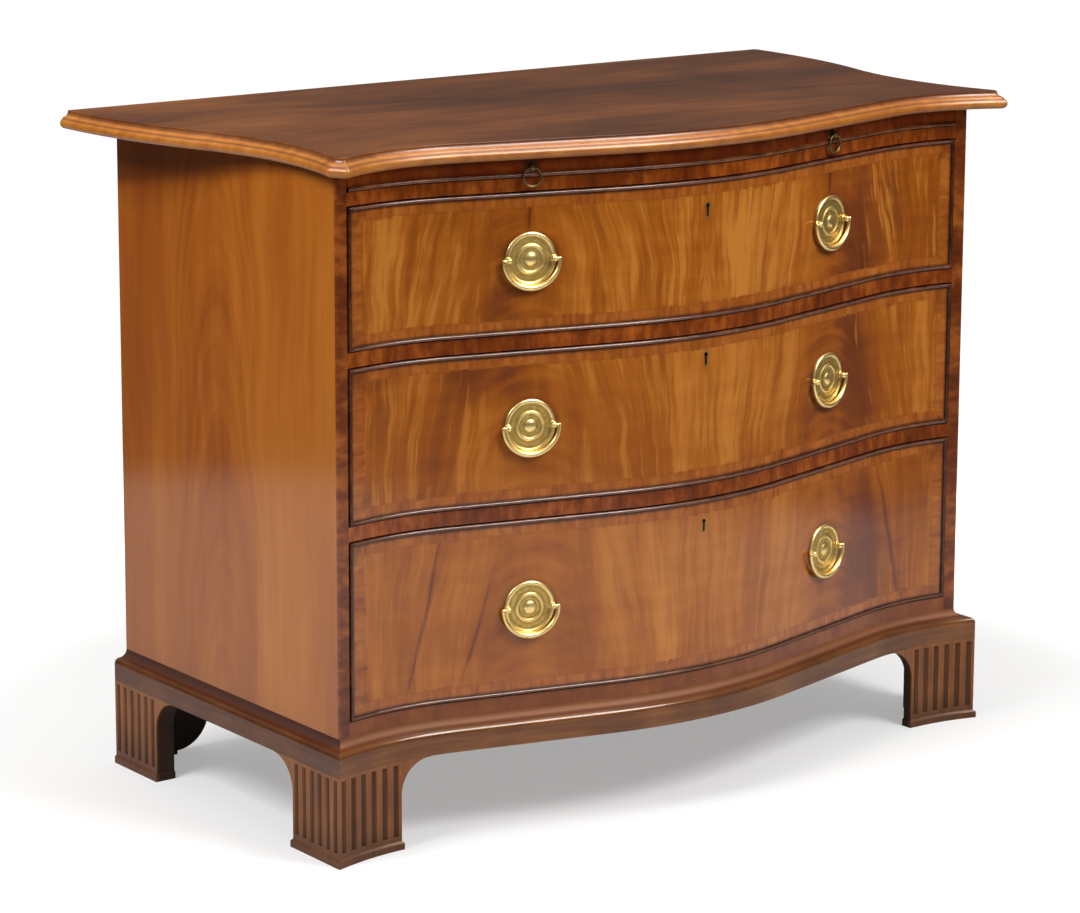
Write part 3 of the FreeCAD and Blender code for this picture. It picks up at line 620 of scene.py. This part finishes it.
# Linings and metals
def make_lining_oak(name, grain_x, grain_y, grain_z, board=None):
    """Dry brown oak of linings, boards and back; the grain runs along the axis that has the smallest number.

    board is the width of boards that stand side by side."""
    finish = Finish(name)
    tones = ((0.15, 0.075, 0.03), (0.28, 0.155, 0.068), (0.4, 0.24, 0.115))
    gap_brown = (0.02, 0.011, 0.006)
    x = finish.x
    y = finish.y
    z = finish.z
    sway = cloud(point(x * 4, y * 4, z * 4), 2.0) - 0.5
    place = point(x * grain_x + sway * 1.5, y * grain_y + sway * 1.5, z * grain_z + sway * 1.5)
    rings = cloud(place, 3.0, 0.6)
    flecks = cloud(point(x * (grain_x * 8), y * (grain_y * 8), z * (grain_z * 8)), 2.0)
    tone = rings * 0.7 + flecks * 0.3
    if board:
        run = x / board
        tone = tone + (cloud(point(run.maths("FLOOR", run) * 7.3, 0.5, 0.5)) - 0.5) * 0.4
    colour = ramp(tone, three_places, tones)
    if board:
        off_middle = abs(run.maths("FRACT", run) - 0.5) * board
        gap = rise(off_middle, board / 2 - 0.0022, board / 2 - 0.0006)
        colour = mix(gap * 0.85, colour, gap_brown)
    return finish.close(colour, 0.55 + flecks * 0.15, tone, depth=0.00025)


def make_base_pine():
    """Dark, dusty pine under the base."""
    finish = Finish("base_pine")
    rings = cloud(point(finish.x * 8, finish.y * 60, finish.z * 60), 3.0, 0.6)
    colour = ramp(rings, (0.3, 0.7), ((0.02, 0.011, 0.006), (0.06, 0.034, 0.018)))
    return finish.close(colour, 0.7 + rings * 0.15, rings, depth=0.0003)


def make_brass(name, bright, worn, dull):
    """Old yellow brass, brown where the piece is hollow and rubbed where it stands proud."""
    finish = Finish(name)
    spot_brown = (0.2, 0.12, 0.04)
    tarnish = finish.x.add("Attribute", {"attribute_name": "wear"}, {}, "Fac")
    blot = cloud(point(finish.x * 160, finish.y * 160, finish.z * 160), 3.0, 0.6)
    fine = cloud(point(finish.x * 900, finish.y * 900, finish.z * 900), 2.0)
    cover = rise(tarnish * 0.62 + blot * 0.6, 0.25, 0.95)
    colour = mix(cover, bright, worn)
    colour = mix(rise(blot, 0.6, 0.75) * 0.3, colour, spot_brown)
    return finish.close(colour, dull + cover * 0.18 + fine * 0.08, fine, depth=0.00005, metallic=1.0)


def make_lock_iron():
    finish = Finish("lock_iron_dark")
    blot = cloud(point(finish.x * 120, finish.y * 120, finish.z * 120), 3.0, 0.6)
    colour = ramp(blot, (0.35, 0.7), ((0.04, 0.035, 0.03), (0.13, 0.1, 0.075)))
    return finish.close(colour, 0.45 + blot * 0.2, blot, depth=0.0001, metallic=0.85)


side_mahogany = make_side_mahogany()
top_mahogany = make_top_mahogany()
front_base_mahogany = make_base_mahogany(
    "front_base_mahogany",
    tones=((0.065, 0.02, 0.005), (0.145, 0.048, 0.011), (0.26, 0.095, 0.024)),
    cove=(0.22, 0.066, 0.012))
side_base_mahogany = make_base_mahogany(
    "side_base_mahogany",
    tones=((0.045, 0.011, 0.003), (0.09, 0.025, 0.005), (0.155, 0.048, 0.011)),
    cove=(0.045, 0.01, 0.003))
foot_mahogany = make_foot_mahogany()
bead_mahogany = make_bead_mahogany(
    "bead_mahogany", tones=((0.024, 0.006, 0.002), (0.06, 0.014, 0.003), (0.14, 0.038, 0.008)))
slide_bead_mahogany = make_bead_mahogany(
    "slide_bead_mahogany", tones=((0.07, 0.018, 0.005), (0.17, 0.05, 0.013), (0.3, 0.1, 0.03)))
rail_mahogany = make_cross_grain(
    "rail_mahogany", "x", width=0.009, seed=3.0,
    tones=((0.065, 0.011, 0.002), (0.18, 0.035, 0.004), (0.43, 0.108, 0.013)))
base_rail_mahogany = make_cross_grain(
    "base_rail_mahogany", "x", width=0.014, seed=5.0,
    tones=((0.13, 0.032, 0.006), (0.2, 0.05, 0.009), (0.3, 0.085, 0.015)))
facing_mahogany = make_cross_grain(
    "facing_mahogany", "z", width=0.011, seed=8.0,
    tones=((0.045, 0.009, 0.0025), (0.14, 0.03, 0.005), (0.4, 0.11, 0.016)))
slide_lip_mahogany = make_slide_lip_mahogany()
slide_board_mahogany = make_slide_board_mahogany()
lining_oak = make_lining_oak("lining_oak", 5.0, 55.0, 55.0)
drawer_side_oak = make_lining_oak("drawer_side_oak", 55.0, 5.0, 55.0)
back_board_oak = make_lining_oak("back_board_oak", 45.0, 45.0, 4.0, back_board)
base_pine = make_base_pine()
handle_brass = make_brass("handle_brass", bright=(0.95, 0.72, 0.3), worn=(0.4, 0.26, 0.062), dull=0.28)
ring_brass = make_brass("ring_brass", bright=(0.18, 0.12, 0.05), worn=(0.075, 0.043, 0.018), dull=0.36)
keyhole_brass = make_brass("keyhole_brass", bright=(0.5, 0.35, 0.13), worn=(0.16, 0.095, 0.03), dull=0.32)
lock_iron = make_lock_iron()
veneers = {
    "upper": make_drawer_veneer(
        "upper", seed=41.0, feathers=0.75,
        patches=[(-0.37, 0.7, 0.07, 0.08, 0.03), (-0.1, 0.72, 0.06, 0.09, 0.08),
                 (0.075, 0.69, 0.05, 0.1, 0.14), (0.31, 0.69, 0.05, 0.12, -0.16),
                 (0.42, 0.68, 0.07, 0.1, -0.08)],
        lines=[(0.06, 0.7, 0.008, 0.07, 0.1, 0.16), (-0.237, 0.76, 0.0015, 0.02, 0.0, -0.2),
               (0.237, 0.76, 0.0015, 0.02, 0.0, -0.2)]),
    "middle": make_drawer_veneer(
        "middle", seed=57.0, feathers=0.55,
        patches=[(-0.3, 0.57, 0.05, 0.035, -0.14), (0.32, 0.5, 0.05, 0.08, -0.14),
                 (0.0, 0.51, 0.12, 0.1, 0.03)],
        lines=[]),
    "lower": make_drawer_veneer(
        "lower", seed=23.0, feathers=0.3,
        patches=[(-0.32, 0.244, 0.035, 0.03, -0.12), (0.34, 0.274, 0.05, 0.09, -0.16),
                 (-0.02, 0.28, 0.16, 0.1, 0.1)],
        lines=[(-0.37, 0.28, 0.0022, 0.09, 0.23, -0.22), (-0.303, 0.255, 0.0018, 0.06, 0.3, -0.2),
               (0.38, 0.27, 0.0025, 0.08, -0.28, -0.22)]),
}


# Pieces
class Shell:
    """Points and faces of one piece, gathered skin by skin, with how worn or tarnished each point is."""

    def __init__(self):
        self.points = []
        self.faces = []
        self.wear = []

    def skin(self, rows, around=True, capped=True, looped=False, wear=None):
        """Joins rows of points, each as long as the next; around closes a row, looped joins last to first."""
        first = len(self.points)
        count = len(rows[0])
        for index, row in enumerate(rows):
            self.points.extend(row)
            self.wear.extend([wear[index] if wear else 0.0] * count)
        for index in range(len(rows) if looped else len(rows) - 1):
            low = first + index * count
            high = first + (index + 1) % len(rows) * count
            for step in range(count if around else count - 1):
                after = (step + 1) % count
                self.faces.append((low + step, low + after, high + after, high + step))
        if capped:
            last = first + (len(rows) - 1) * count
            self.faces.append(tuple(range(first, first + count)))
            self.faces.append(tuple(range(last, last + count)))

    def piece(self, name, body, slot, finish, nodes, crease=plain_crease):
        """Makes the object, shades it smooth up to the crease angle and sets it on its body."""
        mesh = bpy.data.meshes.new(name)
        mesh.from_pydata(self.points, [], self.faces)
        mesh.attributes.new("wear", "FLOAT", "POINT").data.foreach_set("value", self.wear)
        edit = bmesh.new()
        edit.from_mesh(mesh)
        bmesh.ops.recalc_face_normals(edit, faces=edit.faces)
        edit.to_mesh(mesh)
        edit.free()
        mesh.shade_smooth()
        mesh.set_sharp_from_angle(angle=math.radians(crease))
        mesh.materials.append(finish)
        made = bpy.data.objects.new(name, mesh)
        scene.collection.objects.link(made)
        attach(made, body)
        if nodes:
            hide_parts(*nodes)
        return made


def ring_of(count, radius, centre, across, upward):
    """Circle of points round centre, in the plane of two unit vectors."""
    points = []
    for index in range(count):
        angle = 2 * math.pi * index / count
        over = across * (radius * math.cos(angle))
        points.append(centre + over + upward * (radius * math.sin(angle)))
    return points


# Top board
def top_side_x(y, inset):
    """Half-width of the top at y, drawn in by inset: a waist, then a shoulder."""
    run = shoulder_y - waist_y
    swell = shoulder_half - waist_half
    shoulder_radius = (run ** 2 + swell ** 2) / (2 * swell) - waist_radius
    waist_x = waist_half + waist_radius
    shoulder_x = shoulder_half - shoulder_radius
    meeting_y = waist_y + run * (waist_radius + inset) / (waist_radius + shoulder_radius)
    if y < meeting_y:
        return waist_x - math.sqrt((waist_radius + inset) ** 2 - (y - waist_y) ** 2)
    return shoulder_x + math.sqrt((shoulder_radius - inset) ** 2 - (y - shoulder_y) ** 2)


hollow_gain = hollow_radius - top_overhang - top_hollow_radius
top_hollow = Vector((hollow_x - hollow_gain * math.sin(flank_angle),
                     hollow_y + hollow_gain * math.cos(flank_angle)))
waist_centre = Vector((waist_half + waist_radius, waist_y))
cant_out = Vector((math.cos(cant_angle), -math.sin(cant_angle)))
cant_along = Vector((math.sin(cant_angle), math.cos(cant_angle)))


def top_front_y(x, inset):
    """Y of the top's front at x, drawn in by inset: its hollow is tighter than the drawers'."""
    radius = top_hollow_radius + inset
    if x < top_hollow.x - radius * math.sin(flank_angle):
        return front_y(x, top_overhang - inset)
    return top_hollow.y + math.sqrt(radius ** 2 - (x - top_hollow.x) ** 2)


def cant_end(centre, radius, inset, way):
    """Where the canted corner, drawn in by inset, meets a circle; way is 1 in front and -1 on the side."""
    off = cant_reach - inset - centre.dot(cant_out)
    return centre + cant_out * off + cant_along * (way * math.sqrt(radius ** 2 - off ** 2))


def eased(before, corner, after):
    """Points of a short curve that rounds a corner."""
    points = []
    for share in shares(top_corner_steps):
        points.append(before.lerp(corner, share).lerp(corner.lerp(after, share), share))
    return points


def top_outline(inset, z):
    """Outline of the top: its right half from the middle of the front to the back, and the mirror image."""
    front_end = cant_end(top_hollow, top_hollow_radius + inset, inset, 1)
    side_end = cant_end(waist_centre, waist_radius + inset, inset, -1)
    front_stop = front_end.x - corner_ease
    side_start = side_end.y + corner_ease
    front = []
    for share in shares(top_front_steps)[:-1]:
        x = front_stop * share
        front.append(Vector((x, top_front_y(x, inset))))
    first = Vector((front_stop, top_front_y(front_stop, inset)))
    last = Vector((top_side_x(side_start, inset), side_start))
    cant = eased(first, front_end, front_end + cant_along * corner_ease)
    cant += eased(side_end - cant_along * corner_ease, side_end, last)
    side = []
    for share in shares(top_side_steps)[1:]:
        y = side_start + (top_back - side_start) * share
        side.append(Vector((top_side_x(y, inset), y)))
    half = front + cant + side
    left = [Vector((-spot.x, spot.y, z)) for spot in half[:0:-1]]
    return left + [Vector((spot.x, spot.y, z)) for spot in half]


def top_profile():
    """Inset and height of the edge from the underside up: a round nose, a fillet, a cove and an arris."""
    profile = [(nose_radius * 0.5 + nose_fillet, 0.0)]
    for share in shares(top_nose_steps):
        angle = math.radians(nose_sweep * share - nose_sweep / 2)
        profile.append((nose_radius * (1 - math.cos(angle)), nose_radius * (1 + math.sin(angle))))
    fillet = nose_radius - nose_fillet
    for share in shares(top_cove_steps):
        angle = math.radians(90 * share)
        profile.append((fillet + cove_radius * math.sin(angle),
                        top_thickness - top_arris - cove_radius * math.cos(angle)))
    edge = profile[-1][0]
    for inset, left in arris_ease:
        profile.append((edge + inset, top_thickness - top_arris * left))
    return profile


moulded_top = Shell()
moulded_top.skin([top_outline(inset, top_foot + height) for inset, height in top_profile()])
moulded_top.piece("moulded_top", "carcass", "mahogany", top_mahogany, ["top_board"], top_crease)


def across_front(section, steps):
    """Rows of points from the left of the front to the right; section is half-length, stand-off, height."""
    rows = []
    for share in shares(steps):
        row = []
        for reach, forward, z in section:
            x = reach * (2 * share - 1)
            row.append(Vector((x, front_y(x, forward), z)))
        rows.append(row)
    return rows


# Base mouldings, mitred at the front corners
def base_section():
    """Projection and height of the base moulding: a plain ledge, a round nose and a cove."""
    section = [(-base_inset, base_foot), (base_projection, base_foot)]
    cove = base_projection - base_nose
    nose_foot = base_head - base_cove_rise - base_nose
    for share in shares(base_nose_steps):
        angle = math.radians(90 * share)
        section.append((cove + base_nose * math.cos(angle), nose_foot + base_nose * math.sin(angle)))
    for share in shares(base_cove_steps)[1:]:
        angle = math.radians(90 * (1 - share))
        section.append((cove * (1 - math.cos(angle)), base_head - base_cove_rise * math.sin(angle)))
    return section + [(0.0, base_ledge), (-base_inset, base_ledge)]


front_moulding = Shell()
section = [(half_width + projection, projection, z) for projection, z in base_section()]
front_moulding.skin(across_front(section, base_front_steps))
front_moulding.piece("front_base_moulding", "carcass", "mahogany", front_base_mahogany,
                     ["base_moulding_front"])
for name, side in both_sides:
    start = []
    stop = []
    for projection, z in base_section():
        x = half_width + projection
        start.append(Vector((side * x, front_y(x, projection), z)))
        stop.append(Vector((side * x, carcass_back, z)))
    side_moulding = Shell()
    side_moulding.skin([start, stop])
    side_moulding.piece(name + "_base_moulding", "carcass", "mahogany", side_base_mahogany,
                        ["base_moulding_" + name])


# Cock beads, round-nosed and mitred
def bead_loop(foot, head, inset, forward):
    """Closed line round a drawer front, drawn in by inset and moved out by forward."""
    reach = drawer_half - inset
    low = []
    for share in shares(bead_steps):
        low.append((reach * (2 * share - 1), foot + inset))
    right = []
    for share in shares(bead_end_steps)[1:-1]:
        right.append((reach, foot + inset + (head - foot - 2 * inset) * share))
    high = [(x, head - inset) for x, _ in low[::-1]]
    left = [(-reach, z) for _, z in right[::-1]]
    return [Vector((x, front_y(x, forward), z)) for x, z in low + right + high + left]


def bead_profile(width, proud):
    """Inset, stand-off and wear across a bead, from its outer side over its nose to its inner side; the wear
    also places a painted highlight.
    """
    profile = [(0.0, -bead_inset, 0.0)]
    for share in shares(bead_nose_steps):
        angle = math.pi * (1 - share)
        nose = math.sin(angle)
        profile.append((width / 2 * (1 + math.cos(angle)), proud - width / 2 * (1 - nose), nose))
    return profile + [(width, -bead_inset, 0.0)]


for drawer, (foot, head, _) in drawer_fronts.items():
    beads = Shell()
    steps = bead_profile(bead_width, bead_proud)
    beads.skin([bead_loop(foot, head, inset, forward) for inset, forward, _ in steps],
               capped=False, looped=True, wear=[step[2] for step in steps])
    body = drawer + "_drawer"
    beads.piece(body + "_beading", body, "mahogany", bead_mahogany, [body + "_cock_beads"], bead_crease)

lip_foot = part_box("slide_lip")[0][2]
slide_bead = Shell()
section = []
for inset, forward, _ in bead_profile(slide_bead_width, slide_bead_proud):
    section.append((drawer_half, forward, lip_foot + inset))
slide_bead.skin(across_front(section, bead_steps))
slide_bead.piece("slide_beading", "brushing_slide", "mahogany", slide_bead_mahogany, [], bead_crease)


# Handles and ring pulls
def flank_frame(side, z):
    """Frame of a fitting on a flank: X along the front, outwards -Y."""
    spot = Matrix.Translation((side * handle_x, front_y(handle_x), z))
    return spot @ Matrix.Rotation(side * flank_angle, 4, "Z")


# Turned forms, step by step: radius and stand-off in millimetres, and tarnish
plate_profile = (
    (33.0, 0.0, 0.6), (33.0, 1.1, 0.2), (32.6, 1.9, 0.0), (31.7, 2.5, 0.0), (30.5, 2.8, 0.0),
    (29.3, 2.6, 0.1), (28.3, 2.0, 0.5), (27.5, 1.4, 0.9), (26.6, 1.2, 1.0), (23.0, 1.1, 0.6),
    (19.4, 1.2, 1.0), (18.6, 1.5, 0.8), (17.7, 2.2, 0.2), (16.6, 2.6, 0.0), (15.5, 2.3, 0.2),
    (14.6, 1.6, 0.8), (13.8, 1.2, 1.0), (11.0, 1.1, 0.6), (8.6, 1.2, 1.0), (7.8, 1.6, 0.7),
    (6.8, 2.3, 0.2), (5.4, 3.0, 0.0), (3.6, 3.5, 0.0), (1.6, 3.75, 0.0), (0.1, 3.8, 0.0))
post_profile = (
    (2.6, -26.5, 0.5), (2.6, 1.0, 0.5), (4.6, 1.0, 1.0), (4.8, 1.5, 0.6), (4.6, 2.2, 0.3), (3.9, 2.7, 0.6),
    (3.0, 3.2, 0.9), (2.9, 3.7, 0.7), (3.2, 4.3, 0.4), (3.6, 5.0, 0.1), (3.8, 6.0, 0.0), (3.6, 7.2, 0.0),
    (3.0, 8.3, 0.0), (2.0, 9.2, 0.0), (0.1, 9.8, 0.0))
nut_profile = (
    (2.6, -22.0, 0.4), (6.0, -22.0, 0.4), (6.0, -23.6, 0.4), (5.8, -24.4, 0.3), (5.2, -25.0, 0.3),
    (2.6, -25.0, 0.5))
boss_profile = (
    (8.0, 0.0, 0.6), (8.0, 0.7, 0.3), (7.5, 1.4, 0.1), (6.4, 2.0, 0.3), (5.2, 2.3, 0.9), (4.2, 2.6, 1.0),
    (3.7, 3.6, 0.5), (3.9, 5.2, 0.2), (4.0, 6.2, 0.1), (3.8, 7.6, 0.0), (3.2, 8.8, 0.0), (2.0, 9.6, 0.0),
    (0.1, 9.9, 0.0))
outward = Vector((0, -1, 0))
sideways = Vector((1, 0, 0))
upwards = Vector((0, 0, 1))


def turn(shell, profile, place, count):
    """Adds a turned form with count points round it."""
    rows = []
    for radius, stand_off, _ in profile:
        row = ring_of(count, radius / 1000, outward * (stand_off / 1000), sideways, upwards)
        rows.append([place @ spot for spot in row])
    shell.skin(rows, wear=[step[2] for step in profile])


def bail_rows(place):
    """Circles along a bail from its right end round to its left end, swelling towards the middle."""
    rows = []
    stand = outward * post_stand
    for share in shares(bail_cap_steps):
        angle = math.radians(bail_cap_sweep * (1 - share))
        centre = stand + sideways * bail_radius + upwards * (bail_end * math.sin(angle))
        rows.append(ring_of(bail_points, bail_end * math.cos(angle), centre, sideways, outward))
    for share in shares(bail_steps)[1:]:
        angle = math.pi * share
        out = sideways * math.cos(angle) - upwards * math.sin(angle)
        centre = stand + sideways * (bail_radius * math.cos(angle))
        centre = centre - upwards * (bail_drop * math.sin(angle))
        radius = bail_end + bail_swell * math.sin(angle) ** bail_swell_power
        rows.append(ring_of(bail_points, radius, centre, out, outward))
    for share in shares(bail_cap_steps)[1:]:
        angle = math.radians(bail_cap_sweep * share)
        centre = stand - sideways * bail_radius + upwards * (bail_end * math.sin(angle))
        rows.append(ring_of(bail_points, bail_end * math.cos(angle), centre, -sideways, outward))
    return [[place @ spot for spot in row] for row in rows]


def pin_rows(place, side):
    """Pin that runs from a bail's end into the head of its post."""
    rows = []
    for x in (bail_radius, post_spacing):
        centre = outward * post_stand + sideways * (side * x)
        row = ring_of(pin_points, pin_radius, centre, upwards, outward)
        rows.append([place @ spot for spot in row])
    return rows


for drawer, (_, _, handle_z) in drawer_fronts.items():
    body = drawer + "_drawer"
    mounts = Shell()
    for name, side in both_sides:
        place = flank_frame(side, handle_z)
        turn(mounts, plate_profile, place, plate_points)
        bail = Shell()
        bail.skin(bail_rows(place))
        for end in (-1, 1):
            at_post = place @ Matrix.Translation((end * post_spacing, 0, 0))
            turn(mounts, post_profile, at_post, post_points)
            turn(mounts, nut_profile, at_post, post_points)
            bail.skin(pin_rows(place, end))
        bail.piece("%s_%s_handle" % (body, name), "%s_bail_%s" % (body, name), "brass", handle_brass,
                   ["%s_bail_%s" % (body, name)])
    mounts.piece(body + "_handle_mounts", body, "brass", handle_brass, [body + "_handle_plates"])

bosses = Shell()
for name, side in both_sides:
    place = flank_frame(side, ring_z)
    turn(bosses, boss_profile, place, boss_points)
    rows = []
    hang = outward * ring_stand - upwards * ring_radius
    for share in shares(ring_steps)[:-1]:
        angle = 2 * math.pi * share
        out = sideways * math.cos(angle) + upwards * math.sin(angle)
        row = ring_of(ring_points, ring_wire, hang + out * ring_radius, out, outward)
        rows.append([place @ spot for spot in row])
    ring = Shell()
    ring.skin(rows, capped=False, looped=True)
    ring.piece("slide_%s_ring" % name, "ring_pull_" + name, "brass", ring_brass, ["slide_ring_" + name])
bosses.piece("slide_ring_mounts", "brushing_slide", "brass", ring_brass, ["slide_ring_bosses"])

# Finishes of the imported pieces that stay
node_finishes = {
    "side_left": side_mahogany,
    "side_right": side_mahogany,
    "side_facings": facing_mahogany,
    "slide_rail": rail_mahogany,
    "upper_divider": rail_mahogany,
    "lower_divider": rail_mahogany,
    "base_rail": base_rail_mahogany,
    "slide_lip": slide_lip_mahogany,
    "slide_board": slide_board_mahogany,
    "back_boards": back_board_oak,
    "drawer_runners": drawer_side_oak,
}
for node in ("bottom_board", "dust_boards", "drawer_stops"):
    node_finishes[node] = lining_oak
for node in ("base_rear_rail", "foot_blocks"):
    node_finishes[node] = base_pine
for place in ("front", "rear"):
    for name, _ in both_sides:
        node_finishes["foot_%s_%s" % (place, name)] = foot_mahogany
for drawer in drawer_fronts:
    node_finishes[drawer + "_drawer_front"] = veneers[drawer]
    node_finishes[drawer + "_drawer_sides"] = drawer_side_oak
    for piece in ("back", "bottom"):
        node_finishes["%s_drawer_%s" % (drawer, piece)] = lining_oak
    node_finishes[drawer + "_drawer_escutcheon"] = keyhole_brass
    for piece in ("lock", "lock_bolt"):
        node_finishes["%s_drawer_%s" % (drawer, piece)] = lock_iron
for node, finish in node_finishes.items():
    frame["nodes"][node].material_slots[0].material = finish

# Floor: white paper round the chest, paler than the studio beyond it
paper_centre = -0.33
paper_reach = 1.93
paper_edge = 0.04
paper_glow = 0.37
mirrored_glow = 0.1
paper_grey = (0.55, 0.55, 0.55)
studio_grey = (0.12, 0.12, 0.12)
fade_from = 0.75
fade_to = 1.3
floor_half = 200.0
floor_mesh = bpy.data.meshes.new("studio_floor")
corners = [(floor_half * x, floor_half * y, 0) for x, y in ((-1, -1), (1, -1), (1, 1), (-1, 1))]
floor_mesh.from_pydata(corners, [], [(0, 1, 2, 3)])
floor = bpy.data.objects.new("studio_floor", floor_mesh)
scene.collection.objects.link(floor)
paper = Finish("floor_paper")


def away_from(centre):
    """Distance on the floor from a point of the X axis."""
    squared = (paper.x - centre) * (paper.x - centre) + paper.y * paper.y
    return squared.maths("SQRT", squared)


beyond = rise(away_from(paper_centre), paper_reach - paper_edge, paper_reach + paper_edge)
seen = paper.x.add("LightPath", {}, {}, "Is Camera Ray")
mirrored = most(seen.out("Is Glossy Ray"), seen.out("Is Transmission Ray"))
fade = rise(away_from(0.0), fade_from, fade_to)
glow = seen * (paper_glow + fade * (1 - paper_glow)) + mirrored * (1 - beyond) * mirrored_glow
colour = mix(beyond, paper_grey, studio_grey)
diffuse = colour.add("BsdfDiffuse", {}, {"Color": colour})
light = glow.add("Emission", {}, {"Color": glow, "Strength": 1.0})
both = diffuse.add("AddShader", {}, {0: diffuse, 1: light})
both.add("OutputMaterial", {}, {"Surface": both})
floor_mesh.materials.append(paper.material)

# Studio: a dim room, lighter overhead, and soft boxes
room_tint = (1.0, 0.98, 0.95, 1.0)
room_light = 0.08
overhead_light = 0.4
studio = bpy.data.worlds.new("studio")
scene.world = studio
studio.use_nodes = True
studio.node_tree.nodes.clear()
sky = Tone(studio.node_tree).add("TexCoord", {}, {}, "Generated")
height = sky.add("SeparateXYZ", {}, {0: sky}, 2)
brightness = room_light + rise(height, 0.15, 0.9) * overhead_light
room = sky.add("Background", {}, {"Color": room_tint, "Strength": brightness})
room.add("OutputWorld", {}, {"Surface": room})


def soft_box(name, place, aim, width, height, power, tint=(1.0, 1.0, 1.0), gloss_only=False):
    """Hangs a lamp that faces its aim; a gloss-only one shows in polish and metal alone."""
    lamp = bpy.data.lights.new(name, "AREA")
    lamp.color = tint
    lamp.shape = "RECTANGLE"
    lamp.size = width
    lamp.size_y = height
    lamp.energy = power
    box = bpy.data.objects.new(name, lamp)
    box.location = place
    box.rotation_euler = (Vector(aim) - Vector(place)).to_track_quat("-Z", "Y").to_euler()
    box.visible_camera = False
    box.visible_diffuse = not gloss_only
    scene.collection.objects.link(box)


soft_box("front_box", (0.9, -2.45, 2.9), aim=(0.0, 0.0, 0.5), width=1.4, height=1.2, power=96)
soft_box("left_box", (-2.5, -0.1, 2.7), aim=(0.0, 0.0, 0.45), width=1.4, height=1.2, power=88)
soft_box("overhead_box", (0.2, 0.2, 3.3), aim=(0.0, 0.0, 0.0), width=2.0, height=1.4, power=30)
soft_box("sheen_card", (0.8, -2.0, 3.1), aim=(0.0, -0.2, 0.6), width=1.4, height=1.8, power=105,
         tint=(1.0, 0.88, 0.78), gloss_only=True)

# Camera
camera_place = Vector((-2.8400, -3.6786, 1.4617))
camera_yaw = math.radians(37.176)
camera_pitch = math.radians(-11.329)
camera_roll = math.radians(0.204)
forward = Vector((math.sin(camera_yaw) * math.cos(camera_pitch),
                  math.cos(camera_yaw) * math.cos(camera_pitch),
                  math.sin(camera_pitch)))
level = Vector((math.cos(camera_yaw), -math.sin(camera_yaw), 0))
top_side = level.cross(forward)
right = level * math.cos(camera_roll) + top_side * math.sin(camera_roll)
up = top_side * math.cos(camera_roll) - level * math.sin(camera_roll)
lens = bpy.data.cameras.new("photo_camera")
lens.sensor_fit = "HORIZONTAL"
lens.sensor_width = 36.0
lens.lens = 123.04
lens.shift_y = -0.10
lens.clip_end = 1000.0
camera = bpy.data.objects.new("photo_camera", lens)
facing = Matrix((right, up, -forward)).transposed()
camera.matrix_world = Matrix.Translation(camera_place) @ facing.to_4x4()
scene.collection.objects.link(camera)
scene.camera = camera
scene.view_settings.view_transform = "Standard"
